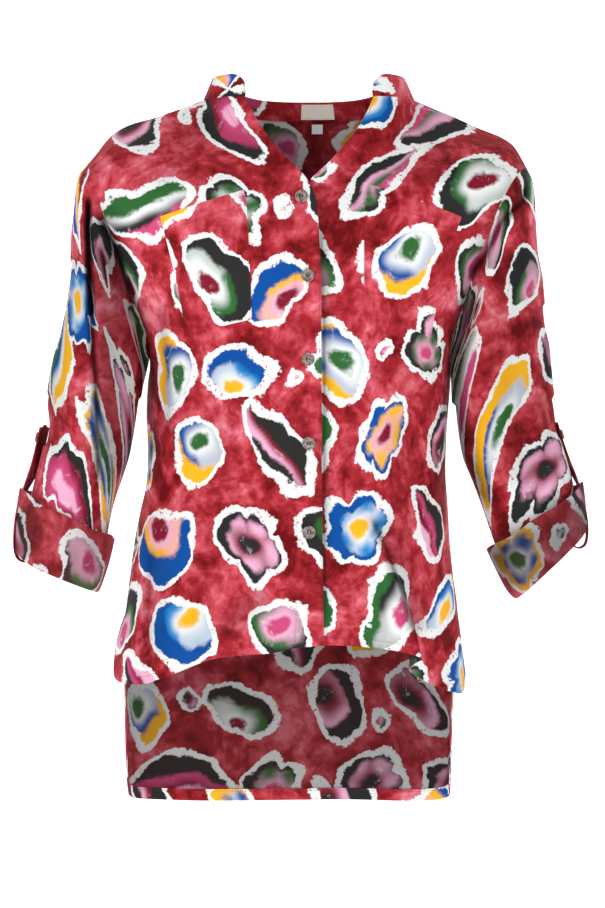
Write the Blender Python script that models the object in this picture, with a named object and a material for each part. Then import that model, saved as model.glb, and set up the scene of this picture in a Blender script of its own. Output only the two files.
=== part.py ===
"""A loose button-through blouse with rolled sleeves, worn shape, cloth pieces as thin solids.

Millimetres inside, metres in the scene. The front faces -Y, +Z is up, and +X is the wearer's left.
The origin lies between the shoulders, level with the points where the shoulder seams meet the neck.
"""
import math

import bmesh
import bpy
import numpy as np

MM = 0.001
WALL = 1.2
SEAM = 0.25
LAY = 0.45
BAND_OUT = 1.1
BAND_IN = 1.0
COLLAR_THICK = 2.2
RIGHT, LEFT = -1, 1
SIDE_NAME = {RIGHT: "right", LEFT: "left"}

# Cells across the pieces: band, band to neck point, shoulder; back neck; armhole; side seam; below the vent
BAND_CELLS, YOKE_CELLS, SHOULDER_CELLS, BACK_NECK_CELLS = 2, 3, 10, 6
ARM_CELLS, SIDE_CELLS, FRONT_TAIL_CELLS, BACK_TAIL_CELLS = 11, 8, 3, 5
SLEEVE_CELLS, COLLAR_ROWS = 13, 3

CENTRE_X, MIDDLE_Y = 1.0, 20.0
VENT_Z = -560.0
BAND_HALF = 0.048
NECK_SIGMA = 0.24

# The body's sections: height, right side x, left side x, side seam y, front y, back y
SECTIONS = (
    (-800, -200, 159, 22, -124, 112),
    (-700, -206, 165, 22, -124, 110),
    (-640, -217, 176, 20, -124, 108),
    (-600, -212, 170, 20, -124, 106),
    (-560, -201, 165, 22, -123, 104),
    (-500, -194, 158, 25, -122, 100),
    (-450, -185, 155, 28, -122, 97),
    (-400, -176, 152, 29, -123, 96),
    (-360, -179, 154, 29, -124, 98),
    (-320, -178, 157, 29, -126, 101),
    (-274, -173, 160, 28, -128, 105),
    (-225, -170, 161, 28, -128, 108),
)
# Side edges below the vents: height, right x, left x, y
BACK_TAIL = ((-800, -199, 158, 40), (-700, -203, 160, 38), (-620, -204, 163, 32), (-560, -201, 165, 22))
FRONT_TAIL = ((-660, -218, 177, 2), (-600, -212, 170, 12), (-560, -202, 165, 22))

# Hem heights along the section, from the front edge (about 0) to the side (1)
FRONT_HEM = {
    RIGHT: (
        (-0.06, -594), (0.03, -596), (0.114, -602), (0.245, -606), (0.345, -611), (0.424, -621),
        (0.54, -632), (0.65, -639), (0.78, -639), (0.89, -634), (1.0, -618),
    ),
    LEFT: (
        (-0.06, -594), (0.1, -594), (0.3, -598), (0.42, -604), (0.52, -614), (0.6, -622),
        (0.7, -636), (0.8, -646), (0.9, -651), (0.96, -648), (1.0, -632),
    ),
}
BACK_HEM = ((0.0, -780), (0.4, -779), (0.7, -776), (0.88, -772), (0.95, -766), (1.0, -752))
BACK_MIDDLE = ((-262, 106), (-200, 108), (-150, 107), (-100, 100), (-60, 91), (-17, 78))

# Front edge from the bust level up to the collar: x, y, z
FRONT_EDGE = {
    RIGHT: (
        (15, -128, -240), (14, -127, -200), (12, -124, -160), (9.5, -119, -125), (5, -115, -104),
        (-14, -105, -81), (-36, -92, -56), (-55, -74, -28), (-69.5, -55.3, -1),
    ),
    LEFT: (
        (-13, -128, -240), (-12, -127, -200), (-10, -124, -160), (-5, -119, -120), (3, -115, -96),
        (18, -105, -80), (38, -92, -58), (57, -75, -32), (71.5, -55.3, -1),
    ),
}
# Shoulder seam from the neck point to the top of the sleeve: x, y, z
SHOULDER = {
    RIGHT: (
        (-115, 5, 0), (-139, 5, -9), (-154, 5, -14), (-171, 5, -20), (-187, 5, -24),
        (-203, 5, -30), (-214, 5, -37), (-224, 5, -47), (-233, 5, -59), (-242, 5, -70),
    ),
    LEFT: (
        (117, 5, 0), (143, 5, -11), (160, 5, -18), (171, 5, -23), (186, 5, -30),
        (204, 5, -37), (217, 5, -43), (227, 5, -51), (234, 5, -62), (241, 5, -75),
    ),
}
NECK_HALF, NECK_FRONT, NECK_BACK, NECK_Y, NECK_DROP = 116.0, 76.0, 73.0, 5.0, 17.0
COLLAR_ANGLE = math.acos(70.5 / NECK_HALF)
COLLAR_FRONT, COLLAR_BACK, COLLAR_CORNER = 26.0, 22.0, 22.0
UNDERARM = {RIGHT: (-173, 28, -274), LEFT: (160, 28, -264)}
ARM_FRONT, ARM_BACK = 72.0, 63.0
ARM_BOW = {RIGHT: (0.0, -4.0), LEFT: (-14.0, 2.0)}

# Sleeve rings: outer x, outer z, inner x, inner z, outer y, inner y, half depth
SLEEVE = {
    RIGHT: (
        (-242, -70, -173, -274, 5, 28, 66), (-254, -88, -176, -284, 5, 20, 66),
        (-258, -130, -180, -297, 4, 12, 63), (-260, -175, -184, -314, 3, 6, 59),
        (-265, -222, -187, -335, 2, 2, 56), (-276, -272, -191, -363, 0, 0, 54),
        (-285, -322, -196, -390, -2, -2, 52), (-287, -357, -206, -422, -3, -3, 50),
        (-296, -402, -217, -458, -4, -4, 49), (-307, -448, -223, -497, -5, -5, 48),
        (-311, -489, -230, -527, -6, -6, 47), (-313, -515, -234, -547, -6, -6, 46),
    ),
    LEFT: (
        (241, -75, 160, -264, 5, 28, 66), (249, -96, 161, -276, 5, 20, 66),
        (251, -136, 161, -290, 4, 12, 63), (254, -180, 161.5, -308, 3, 6, 59),
        (258, -225, 162, -329, 2, 2, 56), (263, -275, 164, -353, 0, 0, 54),
        (267, -320, 169, -388, -2, -2, 52), (275, -362, 181, -420, -3, -3, 50),
        (286, -400, 193, -452, -4, -4, 49), (294, -437, 205, -488, -5, -5, 48),
        (297, -466, 218, -520, -6, -6, 47), (299, -486, 230, -540, -6, -6, 46),
    ),
}
SLEEVE_END = 10.0
SLEEVE_FOLD = {RIGHT: 0.31, LEFT: 0.29}
# The rolled end as one turned strip: place along the sleeve, distance out from it
CUFF_LINE = (
    (9.5, -3.4), (10.35, -3.4), (10.55, -2.2), (10.65, 0.3),
    (10.55, 2.8), (10.0, 4.6), (9.2, 5.8), (8.6, 6.9),
)
CUFF_HALF_WALL = 0.8

# Tabs outside the sleeves: x, z down the outside, round the rolled end and up inside it
TAB_LINE = {
    RIGHT: (
        (-294, -358), (-297, -376), (-303, -400), (-311, -424), (-319, -444), (-322, -466), (-323, -492),
        (-321.5, -508), (-317, -514.5), (-309, -515.5), (-302, -506), (-299.5, -488),
    ),
    LEFT: (
        (275, -353), (282, -374), (291, -394), (299.5, -413), (306, -433), (310, -454), (311, -472),
        (310.5, -487), (306, -494.5), (297, -495.5), (288, -486), (285, -468),
    ),
}
TAB_WIDTH, TAB_HALF_WALL, TAB_Y, TAB_POINT = 24.0, 0.8, -4.0, 11.0

# Patch pocket corners, x and z: inner bottom, outer bottom, outer top, inner top
POCKET = {
    RIGHT: ((-60.5, -245), (-131, -263), (-159, -134), (-68.5, -107)),
    LEFT: ((59.5, -241), (132, -263), (165, -134), (66, -101)),
}
POCKET_ACROSS, POCKET_UP, POCKET_LAY, SEARCH_STEPS = 7, 7, 1.1, 12

LABEL_X, LABEL_WALL = (-7.5, 29.5), 0.6
TAG_X, TAG_DROP, TAG_LAY = (3.4, 15.6), (2.8, 13.8), (3.2, 2.3)
BUTTON_Z = (-114, -199, -288, -378, -473)
BUTTON_RADIUS, BUTTON_THICK, TAB_BUTTON_RADIUS = 7.0, 2.4, 5.5
BUTTON_TURNS, HOLE_TURNS, HOLE_PLACE, HOLE_SIZE, HOLE_REACH = 16, 6, 0.2, 0.11, 2.0
# Button profile: share of the radius, share of the thickness
BUTTON_PROFILE = ((0.85, 0.0), (1.0, 0.4), (0.97, 0.85), (0.86, 1.0), (0.72, 0.8))
BUTTON_DISH = 0.7
# Chest fullness, softening rounds, how fast they fade, and the front's widest fold waves
CHEST_BULGE, SOFT_ROUNDS, SOFT_ROWS = 11.0, 10, 3.5
RIGHT_WAVE, LEFT_WAVE, BACK_WAVE = 5.0, 3.0, 7.0
SLEEVE_RIDGE, RIDGE_OUT, RIDGE_IN, DIP_OFF, DIP_WIDTH = 4.0, 0.07, 0.03, 0.07, 0.04

# How far the under front is pressed in along its edge: height, distance
UNDER_LAP = (
    (-650, 3.9), (-240, 4.6), (-165, 7.0), (-130, 9.0), (-104, 11.0), (-85, 9.5),
    (-50, 2.5), (-20, 0), (5, 0),
)
# Hem fold of the wearer's left front: place from the fold, sideways and forward movement
HEM_FOLD = (
    (-0.5, 0, 0), (-0.2, 2, -4), (-0.06, 6, -13), (0.0, 8, -17), (0.08, -16, -9), (0.16, -33, 2),
    (0.3, -21, 2), (0.45, -7, 0), (0.6, 0, 0),
)

COLOURS = {
    "button": (0.33, 0.29, 0.27, 1.0),
    "label": (0.86, 0.82, 0.72, 1.0),
    "cloth": (0.41, 0.03, 0.07, 1.0),
}


def unit(v):
    return v / np.maximum(np.linalg.norm(v, axis=-1, keepdims=True), 1e-9)


def ease(t):
    t = np.clip(t, 0.0, 1.0)
    return t * t * (3.0 - 2.0 * t)


def curve(rows, at):
    """Smooth values, without overshoot, from a table whose first column rises."""
    rows = np.array(rows, float)
    x, y = rows[:, 0], rows[:, 1:]
    rate = np.diff(y, axis=0) / np.diff(x)[:, None]
    before, after = rate[:-1], rate[1:]
    same_way = before * after > 0
    both = np.where(same_way, before + after, 1.0)
    slope = np.concatenate([rate[:1], np.where(same_way, 2.0 * before * after / both, 0.0), rate[-1:]])
    at = np.clip(np.asarray(at, float), x[0], x[-1])
    i = np.clip(np.searchsorted(x, at) - 1, 0, len(x) - 2)
    h = (x[i + 1] - x[i])[..., None]
    t = (at - x[i])[..., None] / h
    a = y[i] * (2 * t**3 - 3 * t**2 + 1) + y[i + 1] * (3 * t**2 - 2 * t**3)
    return a + h * (slope[i] * (t**3 - 2 * t**2 + t) + slope[i + 1] * (t**3 - t**2))


def along(points, fraction):
    """Points at the given fractions of a path's length."""
    points = np.array(points, float)
    length = np.concatenate([[0.0], np.cumsum(np.linalg.norm(np.diff(points, axis=0), axis=1))])
    return curve(np.column_stack([length / length[-1], points]), fraction)


def armhole(side, half, r):
    """The seam between body and sleeve, from the underarm (0) to the shoulder (1)."""
    low, top = np.array(UNDERARM[side], float), np.array(SHOULDER[side][-1], float)
    rise, bulge = np.sin(np.pi * r / 2)[..., None], np.sin(np.pi * r)
    p = low + (top - low) * rise
    p[..., 0] += bulge * ARM_BOW[side][0 if half < 0 else 1]
    p[..., 1] += bulge * (-ARM_FRONT if half < 0 else ARM_BACK)
    return p


def neck_front(side, u):
    """Neck seam from the front end of the collar (0) to the neck point (1)."""
    angle = COLLAR_ANGLE * (1.0 - u)
    x = CENTRE_X + side * NECK_HALF * np.cos(angle)
    return np.stack([x, NECK_Y - NECK_FRONT * np.sin(angle), -1.2 * np.sin(angle)], -1)


def neck_back(side, u):
    """Neck seam from the middle of the back (0) to the neck point (1)."""
    angle = np.pi / 2 * (1.0 - u)
    x = CENTRE_X + side * NECK_HALF * np.cos(angle)
    return np.stack([x, NECK_Y + NECK_BACK * np.sin(angle), -NECK_DROP * ease(np.sin(angle) ** 1.5)], -1)


def front_columns():
    """Place of each front column round the section, and along the neck and shoulder seams."""
    band = np.linspace(-BAND_HALF, BAND_HALF, BAND_CELLS + 1)
    yoke = np.linspace(BAND_HALF, NECK_SIGMA, YOKE_CELLS + 1)[1:]
    shoulder = np.linspace(NECK_SIGMA, 1.0, SHOULDER_CELLS + 1)[1:]
    share = 28.0 / 75.0
    neck = np.concatenate([np.linspace(0, share, BAND_CELLS + 1), np.linspace(share, 1, YOKE_CELLS + 1)[1:]])
    return np.concatenate([band, yoke, shoulder]), neck, np.linspace(0, 1, SHOULDER_CELLS + 1)[1:]


def back_columns():
    """The same for one half of the back."""
    neck = np.linspace(0, NECK_SIGMA * 1.6, BACK_NECK_CELLS + 1)
    shoulder = np.linspace(neck[-1], 1.0, SHOULDER_CELLS + 1)[1:]
    return np.concatenate([neck, shoulder]), neck / neck[-1], np.linspace(0, 1, SHOULDER_CELLS + 1)[1:]


def row_heights(z_under, z_hem, tail_cells):
    """Heights of the rows below the underarm for every column."""
    low = z_hem[-1]
    side = np.concatenate([
        np.linspace(z_under[-1], VENT_Z, SIDE_CELLS + 1)[1:],
        np.linspace(VENT_Z, low, tail_cells + 1)[1:],
    ])
    share = (side - z_under[-1]) / (low - z_under[-1])
    return z_under[None, :] + (z_hem - z_under)[None, :] * share[:, None]


def level_points(side, half, z, angle):
    """Points of one row of a body half at heights z."""
    right, left, side_y, front_y, back_y = np.moveaxis(curve(SECTIONS, z), -1, 0)
    below = curve(FRONT_TAIL if half < 0 else BACK_TAIL, z)
    use = ease((VENT_Z - z) / 30.0)
    edge_x = right if side == RIGHT else left
    edge_x = edge_x + (below[..., 0 if side == RIGHT else 1] - edge_x) * use
    side_y = side_y + (below[..., 2] - side_y) * use
    main_y = front_y if half < 0 else back_y
    x = CENTRE_X + (edge_x - CENTRE_X) * np.sin(angle)
    return np.stack([x, side_y + (main_y - side_y) * np.cos(angle), z], -1)


def body_half(side, half):
    """Outer surface of one front (half -1) or one half of the back (half 1), rows from hem to shoulder."""
    sigma, neck, shoulder = front_columns() if half < 0 else back_columns()
    rise = np.linspace(0, 1, ARM_CELLS + 1)
    if half < 0:
        z_mid, tail_cells = FRONT_EDGE[side][0][2], FRONT_TAIL_CELLS
        z_hem = curve(FRONT_HEM[side], sigma)[:, 0]
        top = np.concatenate([neck_front(side, neck), along(SHOULDER[side], shoulder)])
        edge = along(FRONT_EDGE[side], rise)
    else:
        z_mid, tail_cells = BACK_MIDDLE[0][0], BACK_TAIL_CELLS
        z_hem = curve(BACK_HEM, sigma)[:, 0]
        top = np.concatenate([neck_back(side, neck), along(SHOULDER[side], shoulder)])
        z_line = z_mid + (-NECK_DROP - z_mid) * rise
        edge = np.stack([np.full_like(rise, CENTRE_X), curve(BACK_MIDDLE, z_line)[:, 0], z_line], -1)
    c = np.clip(sigma, 0, 1)
    z_under = z_mid + (UNDERARM[side][2] - z_mid) * c**1.3
    angle = np.pi / 2 * sigma
    base = level_points(side, half, z_under, angle)
    lower = np.array([level_points(side, half, z, angle) for z in row_heights(z_under, z_hem, tail_cells)])

    arm = armhole(side, half, rise)
    base[-1], edge[0] = arm[0], base[0]
    across = (c**2 if half > 0 else c**1.6)[None, :, None]
    up = (rise**1.5)[:, None, None]
    low_line = (1 - across) * base[0] + across * base[-1]
    top_line = (1 - across) * top[0] + across * top[-1]
    patch = (1 - up) * base[None] + up * top[None]
    patch = patch + (1 - across) * edge[:, None] + across * arm[:, None]
    patch = patch - (1 - up) * low_line - up * top_line
    grid = np.concatenate([lower[::-1], patch])
    keep = len(lower)
    weight = np.exp(-(((np.arange(len(grid)) - keep) / SOFT_ROWS) ** 2))[:, None, None] * 0.5
    for _ in range(SOFT_ROUNDS):
        soft = grid.copy()
        soft[1:-1, 1:-1] = (grid[:-2, 1:-1] + grid[2:, 1:-1] + grid[1:-1, :-2] + grid[1:-1, 2:]) / 4
        grid = grid + (soft - grid) * weight
    bulge = np.sin(np.pi * c)[None, :] * np.sin(np.pi * rise**0.8)[:, None]
    grid[keep:, :, 1] += half * bulge * CHEST_BULGE
    return grid


def normals(grid, wrap=False):
    """Unit normals of a grid of points, all facing away from the middle of the body or sleeve."""
    if wrap:
        across = np.roll(grid, -1, axis=1) - np.roll(grid, 1, axis=1)
        middle = grid.mean(axis=1, keepdims=True)
    else:
        across = np.gradient(grid, axis=1)
        middle = np.array([CENTRE_X, MIDDLE_Y, 0.0]) + grid * np.array([0.0, 0.0, 1.0])
    facing = unit(np.cross(across, np.gradient(grid, axis=0)))
    return facing * np.sign((facing * (grid - middle)).sum())


def sleeve_grid(side, places):
    """Sleeve surface at places along its rings, round from the underarm by the front to the back."""
    rows = np.array(SLEEVE[side], float)
    table = np.column_stack([np.arange(len(rows)), rows])
    r = np.linspace(0, 1, ARM_CELLS + 1)
    rings = []
    for k in places:
        ox, oz, ix, iz, oy, iy, depth = curve(table, k)
        early = float(ease(1.0 - k / 3.0))
        rise = early * np.sin(np.pi * r / 2) + (1 - early) * (1 - np.cos(np.pi * r)) / 2
        ring = []
        for half in (-1, 1):
            own = (ARM_FRONT if half < 0 else ARM_BACK) * early + depth * (1 - early)
            bow = ARM_BOW[side][0 if half < 0 else 1] * early
            x = ix + (ox - ix) * rise + bow * np.sin(np.pi * r)
            y = iy + (oy - iy) * rise + half * own * np.sin(np.pi * r)
            ring.append(np.stack([x, y, iz + (oz - iz) * rise], -1))
        rings.append(np.concatenate([ring[0], ring[1][-2:0:-1]]))
    return np.array(rings)


def fold_front(grid, side):
    """The large folds of a front, growing towards the hem."""
    sigma = front_columns()[0][None, :] + 0 * grid[..., 0]
    z = grid[..., 2].copy()
    free = ease((sigma - 0.08) / 0.15) * ease((1 - sigma) / 0.12)
    if side == LEFT:
        grow = ease((-470 - z) / 170.0) * free
        place = 0.36 + 0.1 * ease((-484 - z) / 130.0)
        move = curve(HEM_FOLD, sigma - place)
        grid[..., 0] += move[..., 0] * grow
        grid[..., 1] += move[..., 1] * grow
        wave = np.sin(6.0 * sigma + 0.8) * LEFT_WAVE
    else:
        wave = np.sin(9.0 * sigma - 0.4) * RIGHT_WAVE
    grid[..., 1] += wave * ease((-330 - z) / 280.0) * free
    return grid


def fold_back(grid, sigma):
    """Soft waves of the back towards its hem."""
    free = ease((1 - np.abs(sigma)) / 0.15)
    grid[..., 1] += np.sin(7.5 * sigma + 0.6) * BACK_WAVE * ease((-330 - grid[..., 2]) / 350.0) * free
    return grid


def fold_sleeve(grid, side):
    """Long fold down the front of a sleeve."""
    turn = np.arange(grid.shape[1]) / grid.shape[1]
    length = np.linspace(0, 1, len(grid))[:, None]
    grow = ease(length / 0.3) * ease((1.0 - length) / 0.25)
    away = turn[None, :] - SLEEVE_FOLD[side]
    ridge = np.exp(-((away / np.where(away > 0, RIDGE_OUT, RIDGE_IN)) ** 2))
    dip = np.exp(-(((away + DIP_OFF) / DIP_WIDTH) ** 2))
    return grid + normals(grid, wrap=True) * (SLEEVE_RIDGE * (ridge - dip) * grow)[..., None]


def collar_grid(base):
    """Standing collar over the points of the neck seam, and its outward directions."""
    length = np.concatenate([[0.0], np.cumsum(np.linalg.norm(np.diff(base, axis=0), axis=1))])
    from_end = np.minimum(length, length[-1] - length)
    behind = ease((base[:, 1] - 10.0) / 60.0)
    corner = np.clip(1.0 - from_end / COLLAR_CORNER, 0.0, 1.0)
    height = COLLAR_FRONT + (COLLAR_BACK - COLLAR_FRONT) * behind
    height = height - COLLAR_CORNER * 0.9 * (1.0 - np.sqrt(np.maximum(1.0 - corner**2, 0.0)))
    out = unit((base - np.array([CENTRE_X, NECK_Y, 0.0])) * np.array([1.0, 1.0, 0.0]))
    lean = 0.12 + 0.3 * ease((base[:, 1] + 60.0) / 60.0) * (1.0 - 0.35 * behind)
    rise = unit(np.array([0.0, 0.0, 1.0]) - out * lean[:, None])
    share = np.linspace(0, 1, COLLAR_ROWS + 1)
    grid = base[None] + rise[None] * (height[None] * share[:, None])[..., None]
    facing = unit(out - rise * (out * rise).sum(-1, keepdims=True))
    return grid, np.repeat(facing[None], COLLAR_ROWS + 1, axis=0)


def material(name):
    mat = bpy.data.materials.new(name + "_material")
    mat.use_nodes = True
    shader = mat.node_tree.nodes["Principled BSDF"]
    kind = "button" if "button" in name else "label" if "label" in name else "cloth"
    shader.inputs["Base Color"].default_value = COLOURS[kind]
    shader.inputs["Roughness"].default_value = 0.35 if kind == "button" else 0.85
    return mat


def solid(name, points, faces):
    """A mesh object from points in millimetres."""
    mesh = bpy.data.meshes.new(name)
    mesh.from_pydata([tuple(np.asarray(p) * MM) for p in points], [], faces)
    work = bmesh.new()
    work.from_mesh(mesh)
    bmesh.ops.recalc_face_normals(work, faces=work.faces)
    work.to_mesh(mesh)
    work.free()
    thing = bpy.data.objects.new(name, mesh)
    COLLECTION.objects.link(thing)
    thing.data.materials.append(material(name))
    return thing


def shell(name, outer, inner, wrap=False):
    """A closed sheet between two grids of points."""
    rows, cols = outer.shape[:2]
    half = rows * cols

    def index(i, j):
        return i * cols + j % cols

    faces = []
    for i in range(rows - 1):
        for j in range(cols if wrap else cols - 1):
            a, b, c, d = index(i, j), index(i, j + 1), index(i + 1, j + 1), index(i + 1, j)
            faces += [(a, b, c), (a, c, d), (a + half, c + half, b + half), (a + half, d + half, c + half)]
    first = [index(0, j) for j in range(cols)]
    last = [index(rows - 1, j) for j in range(cols)][::-1]
    if wrap:
        rims = [first + first[:1], last + last[:1]]
    else:
        right = [index(i, cols - 1) for i in range(rows)]
        left = [index(i, 0) for i in range(rows)][::-1]
        rims = [first, last, right, left]
    for rim in rims:
        for a, b in zip(rim, rim[1:]):
            faces += [(b, a, a + half), (b, a + half, b + half)]
    return solid(name, np.concatenate([outer.reshape(-1, 3), inner.reshape(-1, 3)]), faces)


def draw_back(grid, first, last, axis):
    """Move a grid's edges in from the seams they meet."""
    grid = grid.copy()
    lines = np.moveaxis(grid, axis, 0)
    if first:
        lines[0] += unit(lines[1] - lines[0]) * SEAM
    if last:
        lines[-1] += unit(lines[-2] - lines[-1]) * SEAM
    return grid


def thick(outer, normal, own, amount):
    """Inner surface of a sheet, a little further at a folded seam."""
    share = np.maximum((normal * own).sum(-1, keepdims=True), 0.55)
    return outer - normal * amount / share


def between(grid, row, col):
    """Value of a grid at places between its rows and columns."""
    i = np.clip(np.floor(row).astype(int), 0, grid.shape[0] - 2)
    j = np.clip(np.floor(col).astype(int), 0, grid.shape[1] - 2)
    u, v = (row - i)[..., None], (col - j)[..., None]
    near = grid[i, j] * (1 - v) + grid[i, j + 1] * v
    far = grid[i + 1, j] * (1 - v) + grid[i + 1, j + 1] * v
    return near * (1 - u) + far * u


def nearest_place(grid, x, z):
    """Row and column at which a front panel passes a point seen from the front."""
    row_steps = np.linspace(0, grid.shape[0] - 1, SEARCH_STEPS * grid.shape[0])
    col_steps = np.linspace(0, grid.shape[1] - 1, SEARCH_STEPS * grid.shape[1])
    rows, cols = np.meshgrid(row_steps, col_steps, indexing="ij")
    point = between(grid, rows, cols)
    off = (point[..., 0] - x) ** 2 + (point[..., 2] - z) ** 2
    best = np.unravel_index(np.argmin(off), off.shape)
    return rows[best], cols[best]


def quarter(grid, corners, up, across):
    """Grid of values inside four corners given as rows and columns of another grid."""
    corners = np.array(corners)
    v, u = np.meshgrid(np.linspace(0, 1, up + 1), np.linspace(0, 1, across + 1), indexing="ij")
    v, u = v[..., None], u[..., None]
    place = (corners[0] * (1 - u) + corners[1] * u) * (1 - v) + (corners[3] * (1 - u) + corners[2] * u) * v
    return between(grid, place[..., 0], place[..., 1])


def strip(name, path, centre_y):
    """A tab of cloth along an x, z path, its width along y and its first end pointed."""
    path = np.array(path, float)
    run = np.gradient(path, axis=0)
    side = unit(np.stack([run[:, 1], -run[:, 0]], -1)) * TAB_HALF_WALL
    layers = []
    for sign in (1, -1):
        line = path + sign * side
        grid = []
        for across in (-0.5, -0.25, 0.0, 0.25, 0.5):
            height = line[:, 1].copy()
            height[0] -= TAB_POINT * abs(across)
            place_y = np.full(len(line), centre_y + across * TAB_WIDTH)
            grid.append(np.column_stack([line[:, 0], place_y, height]))
        layers.append(np.array(grid))
    return shell(name, layers[0], layers[1])


def button(name, centre, facing, radius):
    """A four-hole button with a raised rim, its back towards the cloth."""
    facing = unit(np.asarray(facing, float))
    up = unit(np.array([0.0, 0.0, 1.0]) - facing * facing[2])
    right = np.cross(up, facing)
    turns, rings = BUTTON_TURNS, len(BUTTON_PROFILE)
    points = []
    for share, rise in BUTTON_PROFILE:
        r, h = radius * share, BUTTON_THICK * rise
        for k in range(turns):
            t = 2 * math.pi * k / turns
            points.append(centre + facing * h + (right * math.cos(t) + up * math.sin(t)) * r)
    low, high = len(points), len(points) + 1
    points += [centre, centre + facing * BUTTON_THICK * BUTTON_DISH]
    faces = []
    for k in range(turns):
        n = (k + 1) % turns
        faces += [(low, n, k), (high, (rings - 1) * turns + k, (rings - 1) * turns + n)]
        for i in range(rings - 1):
            a, b = i * turns + k, i * turns + n
            faces += [(a, b, b + turns), (a, b + turns, a + turns)]
    thing = solid(name, points, faces)

    sides = HOLE_TURNS
    points, faces = [], []
    for x, y in ((1, 1), (-1, 1), (-1, -1), (1, -1)):
        middle = centre + (right * x + up * y) * radius * HOLE_PLACE
        first = len(points)
        for h in (-HOLE_REACH, BUTTON_THICK + HOLE_REACH):
            for k in range(sides):
                t = 2 * math.pi * k / sides
                around = right * math.cos(t) + up * math.sin(t)
                points.append(middle + facing * h + around * radius * HOLE_SIZE)
        faces.append([first + k for k in range(sides)][::-1])
        faces.append([first + sides + k for k in range(sides)])
        for k in range(sides):
            n = (k + 1) % sides
            faces.append((first + k, first + n, first + sides + n, first + sides + k))
    cutter = solid(name + "_holes", points, faces)
    COLLECTION.objects.unlink(cutter)
    CUTTERS.objects.link(cutter)
    cutter.hide_render = True
    cut = thing.modifiers.new("holes", "BOOLEAN")
    cut.operation = "DIFFERENCE"
    cut.solver = "EXACT"
    cut.object = cutter
    return thing


# Start with an empty scene: the part in one collection, the cutters in another
for old in list(bpy.data.objects):
    bpy.data.objects.remove(old, do_unlink=True)
COLLECTION = bpy.data.collections.new("blouse")
bpy.context.scene.collection.children.link(COLLECTION)
CUTTERS = bpy.data.collections.new("cutters")
bpy.context.scene.collection.children.link(CUTTERS)

NECK_COL = BAND_CELLS + YOKE_CELLS
FRONT_ROW, BACK_ROW = SIDE_CELLS + FRONT_TAIL_CELLS, SIDE_CELLS + BACK_TAIL_CELLS
BACK_COLS = 2 * (BACK_NECK_CELLS + SHOULDER_CELLS)

# Whole surfaces first, so that pieces meeting at a seam share its points
front = {side: fold_front(body_half(side, -1), side) for side in (RIGHT, LEFT)}
lap = curve(UNDER_LAP, front[LEFT][:, 0, 2]) * (1.0 - ease((front_columns()[0] - 0.06) / 0.22))[None, :]
front[LEFT] = front[LEFT] - normals(front[LEFT]) * lap[..., None]
halves = {side: body_half(side, 1) for side in (RIGHT, LEFT)}
back_sigma = back_columns()[0]
back = np.concatenate([halves[RIGHT][:, ::-1], halves[LEFT][:, 1:]], axis=1)
back = fold_back(back, np.concatenate([-back_sigma[::-1], back_sigma[1:]])[None, :])
sleeve_places = np.linspace(0.0, SLEEVE_END, SLEEVE_CELLS + 1)
sleeve = {side: fold_sleeve(sleeve_grid(side, sleeve_places), side) for side in (RIGHT, LEFT)}

front_own = {side: normals(front[side]) for side in (RIGHT, LEFT)}
sleeve_own = {side: normals(sleeve[side], wrap=True) for side in (RIGHT, LEFT)}
back_own = normals(back)

# Collar points along the neck seam, with extra ones near the rounded ends
END_STEPS = np.array([0.0, 0.12, 0.3, 0.6])
back_neck = back[-1, SHOULDER_CELLS:SHOULDER_CELLS + 2 * BACK_NECK_CELLS + 1]
seam = np.concatenate([front[RIGHT][-1, :NECK_COL], back_neck, front[LEFT][-1, :NECK_COL][::-1]])
start = [seam[0] + (seam[1] - seam[0]) * t for t in END_STEPS]
finish = [seam[-1] + (seam[-2] - seam[-1]) * t for t in END_STEPS[::-1]]
collar, collar_own = collar_grid(np.array(start + list(seam[1:-1]) + finish))
skip = len(END_STEPS)
seam_n = np.concatenate([collar_own[0, :1], collar_own[0, skip:-skip], collar_own[0, -1:]])

# One shared direction through the cloth at every seam
front_n = {side: front_own[side].copy() for side in (RIGHT, LEFT)}
sleeve_n = {side: sleeve_own[side].copy() for side in (RIGHT, LEFT)}
back_n, collar_n = back_own.copy(), collar_own.copy()
ring_count = 2 * ARM_CELLS
for side in (RIGHT, LEFT):
    edge_col = 0 if side == RIGHT else BACK_COLS
    inwards = 1 if side == RIGHT else -1
    for i in range(-SIDE_CELLS, 0):
        joint = unit(front_n[side][FRONT_ROW + i, -1] + back_n[BACK_ROW + i, edge_col])
        front_n[side][FRONT_ROW + i, -1] = joint
        back_n[BACK_ROW + i, edge_col] = joint
    for j in range(SHOULDER_CELLS + 1):
        joint = unit(front_n[side][-1, -1 - j] + back_n[-1, edge_col + inwards * j])
        front_n[side][-1, -1 - j] = joint
        back_n[-1, edge_col + inwards * j] = joint
    for i in range(ARM_CELLS + 1):
        drop = np.array([0.0, 0.0, -0.5 if i < 2 else 0.0])
        before, behind = i, (ring_count - i) % ring_count
        body_front, body_back = front_n[side][FRONT_ROW + i, -1], back_n[BACK_ROW + i, edge_col]
        if i in (0, ARM_CELLS):
            body_front = body_back = unit(body_front + body_back)
        joint = unit(body_front + sleeve_own[side][0, before] + drop)
        joint_back = unit(body_back + sleeve_own[side][0, behind] + drop)
        front_n[side][FRONT_ROW + i, -1] = joint
        back_n[BACK_ROW + i, edge_col] = joint_back
        sleeve_n[side][0, behind] = joint_back
        sleeve_n[side][0, before] = joint
    for j in range(NECK_COL + 1):
        place = j if side == RIGHT else len(seam_n) - 1 - j
        joint = unit(front_n[side][-1, j] + seam_n[place])
        front_n[side][-1, j] = joint
        seam_n[place] = joint
        if j == NECK_COL:
            back_n[-1, edge_col + inwards * SHOULDER_CELLS] = joint
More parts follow.
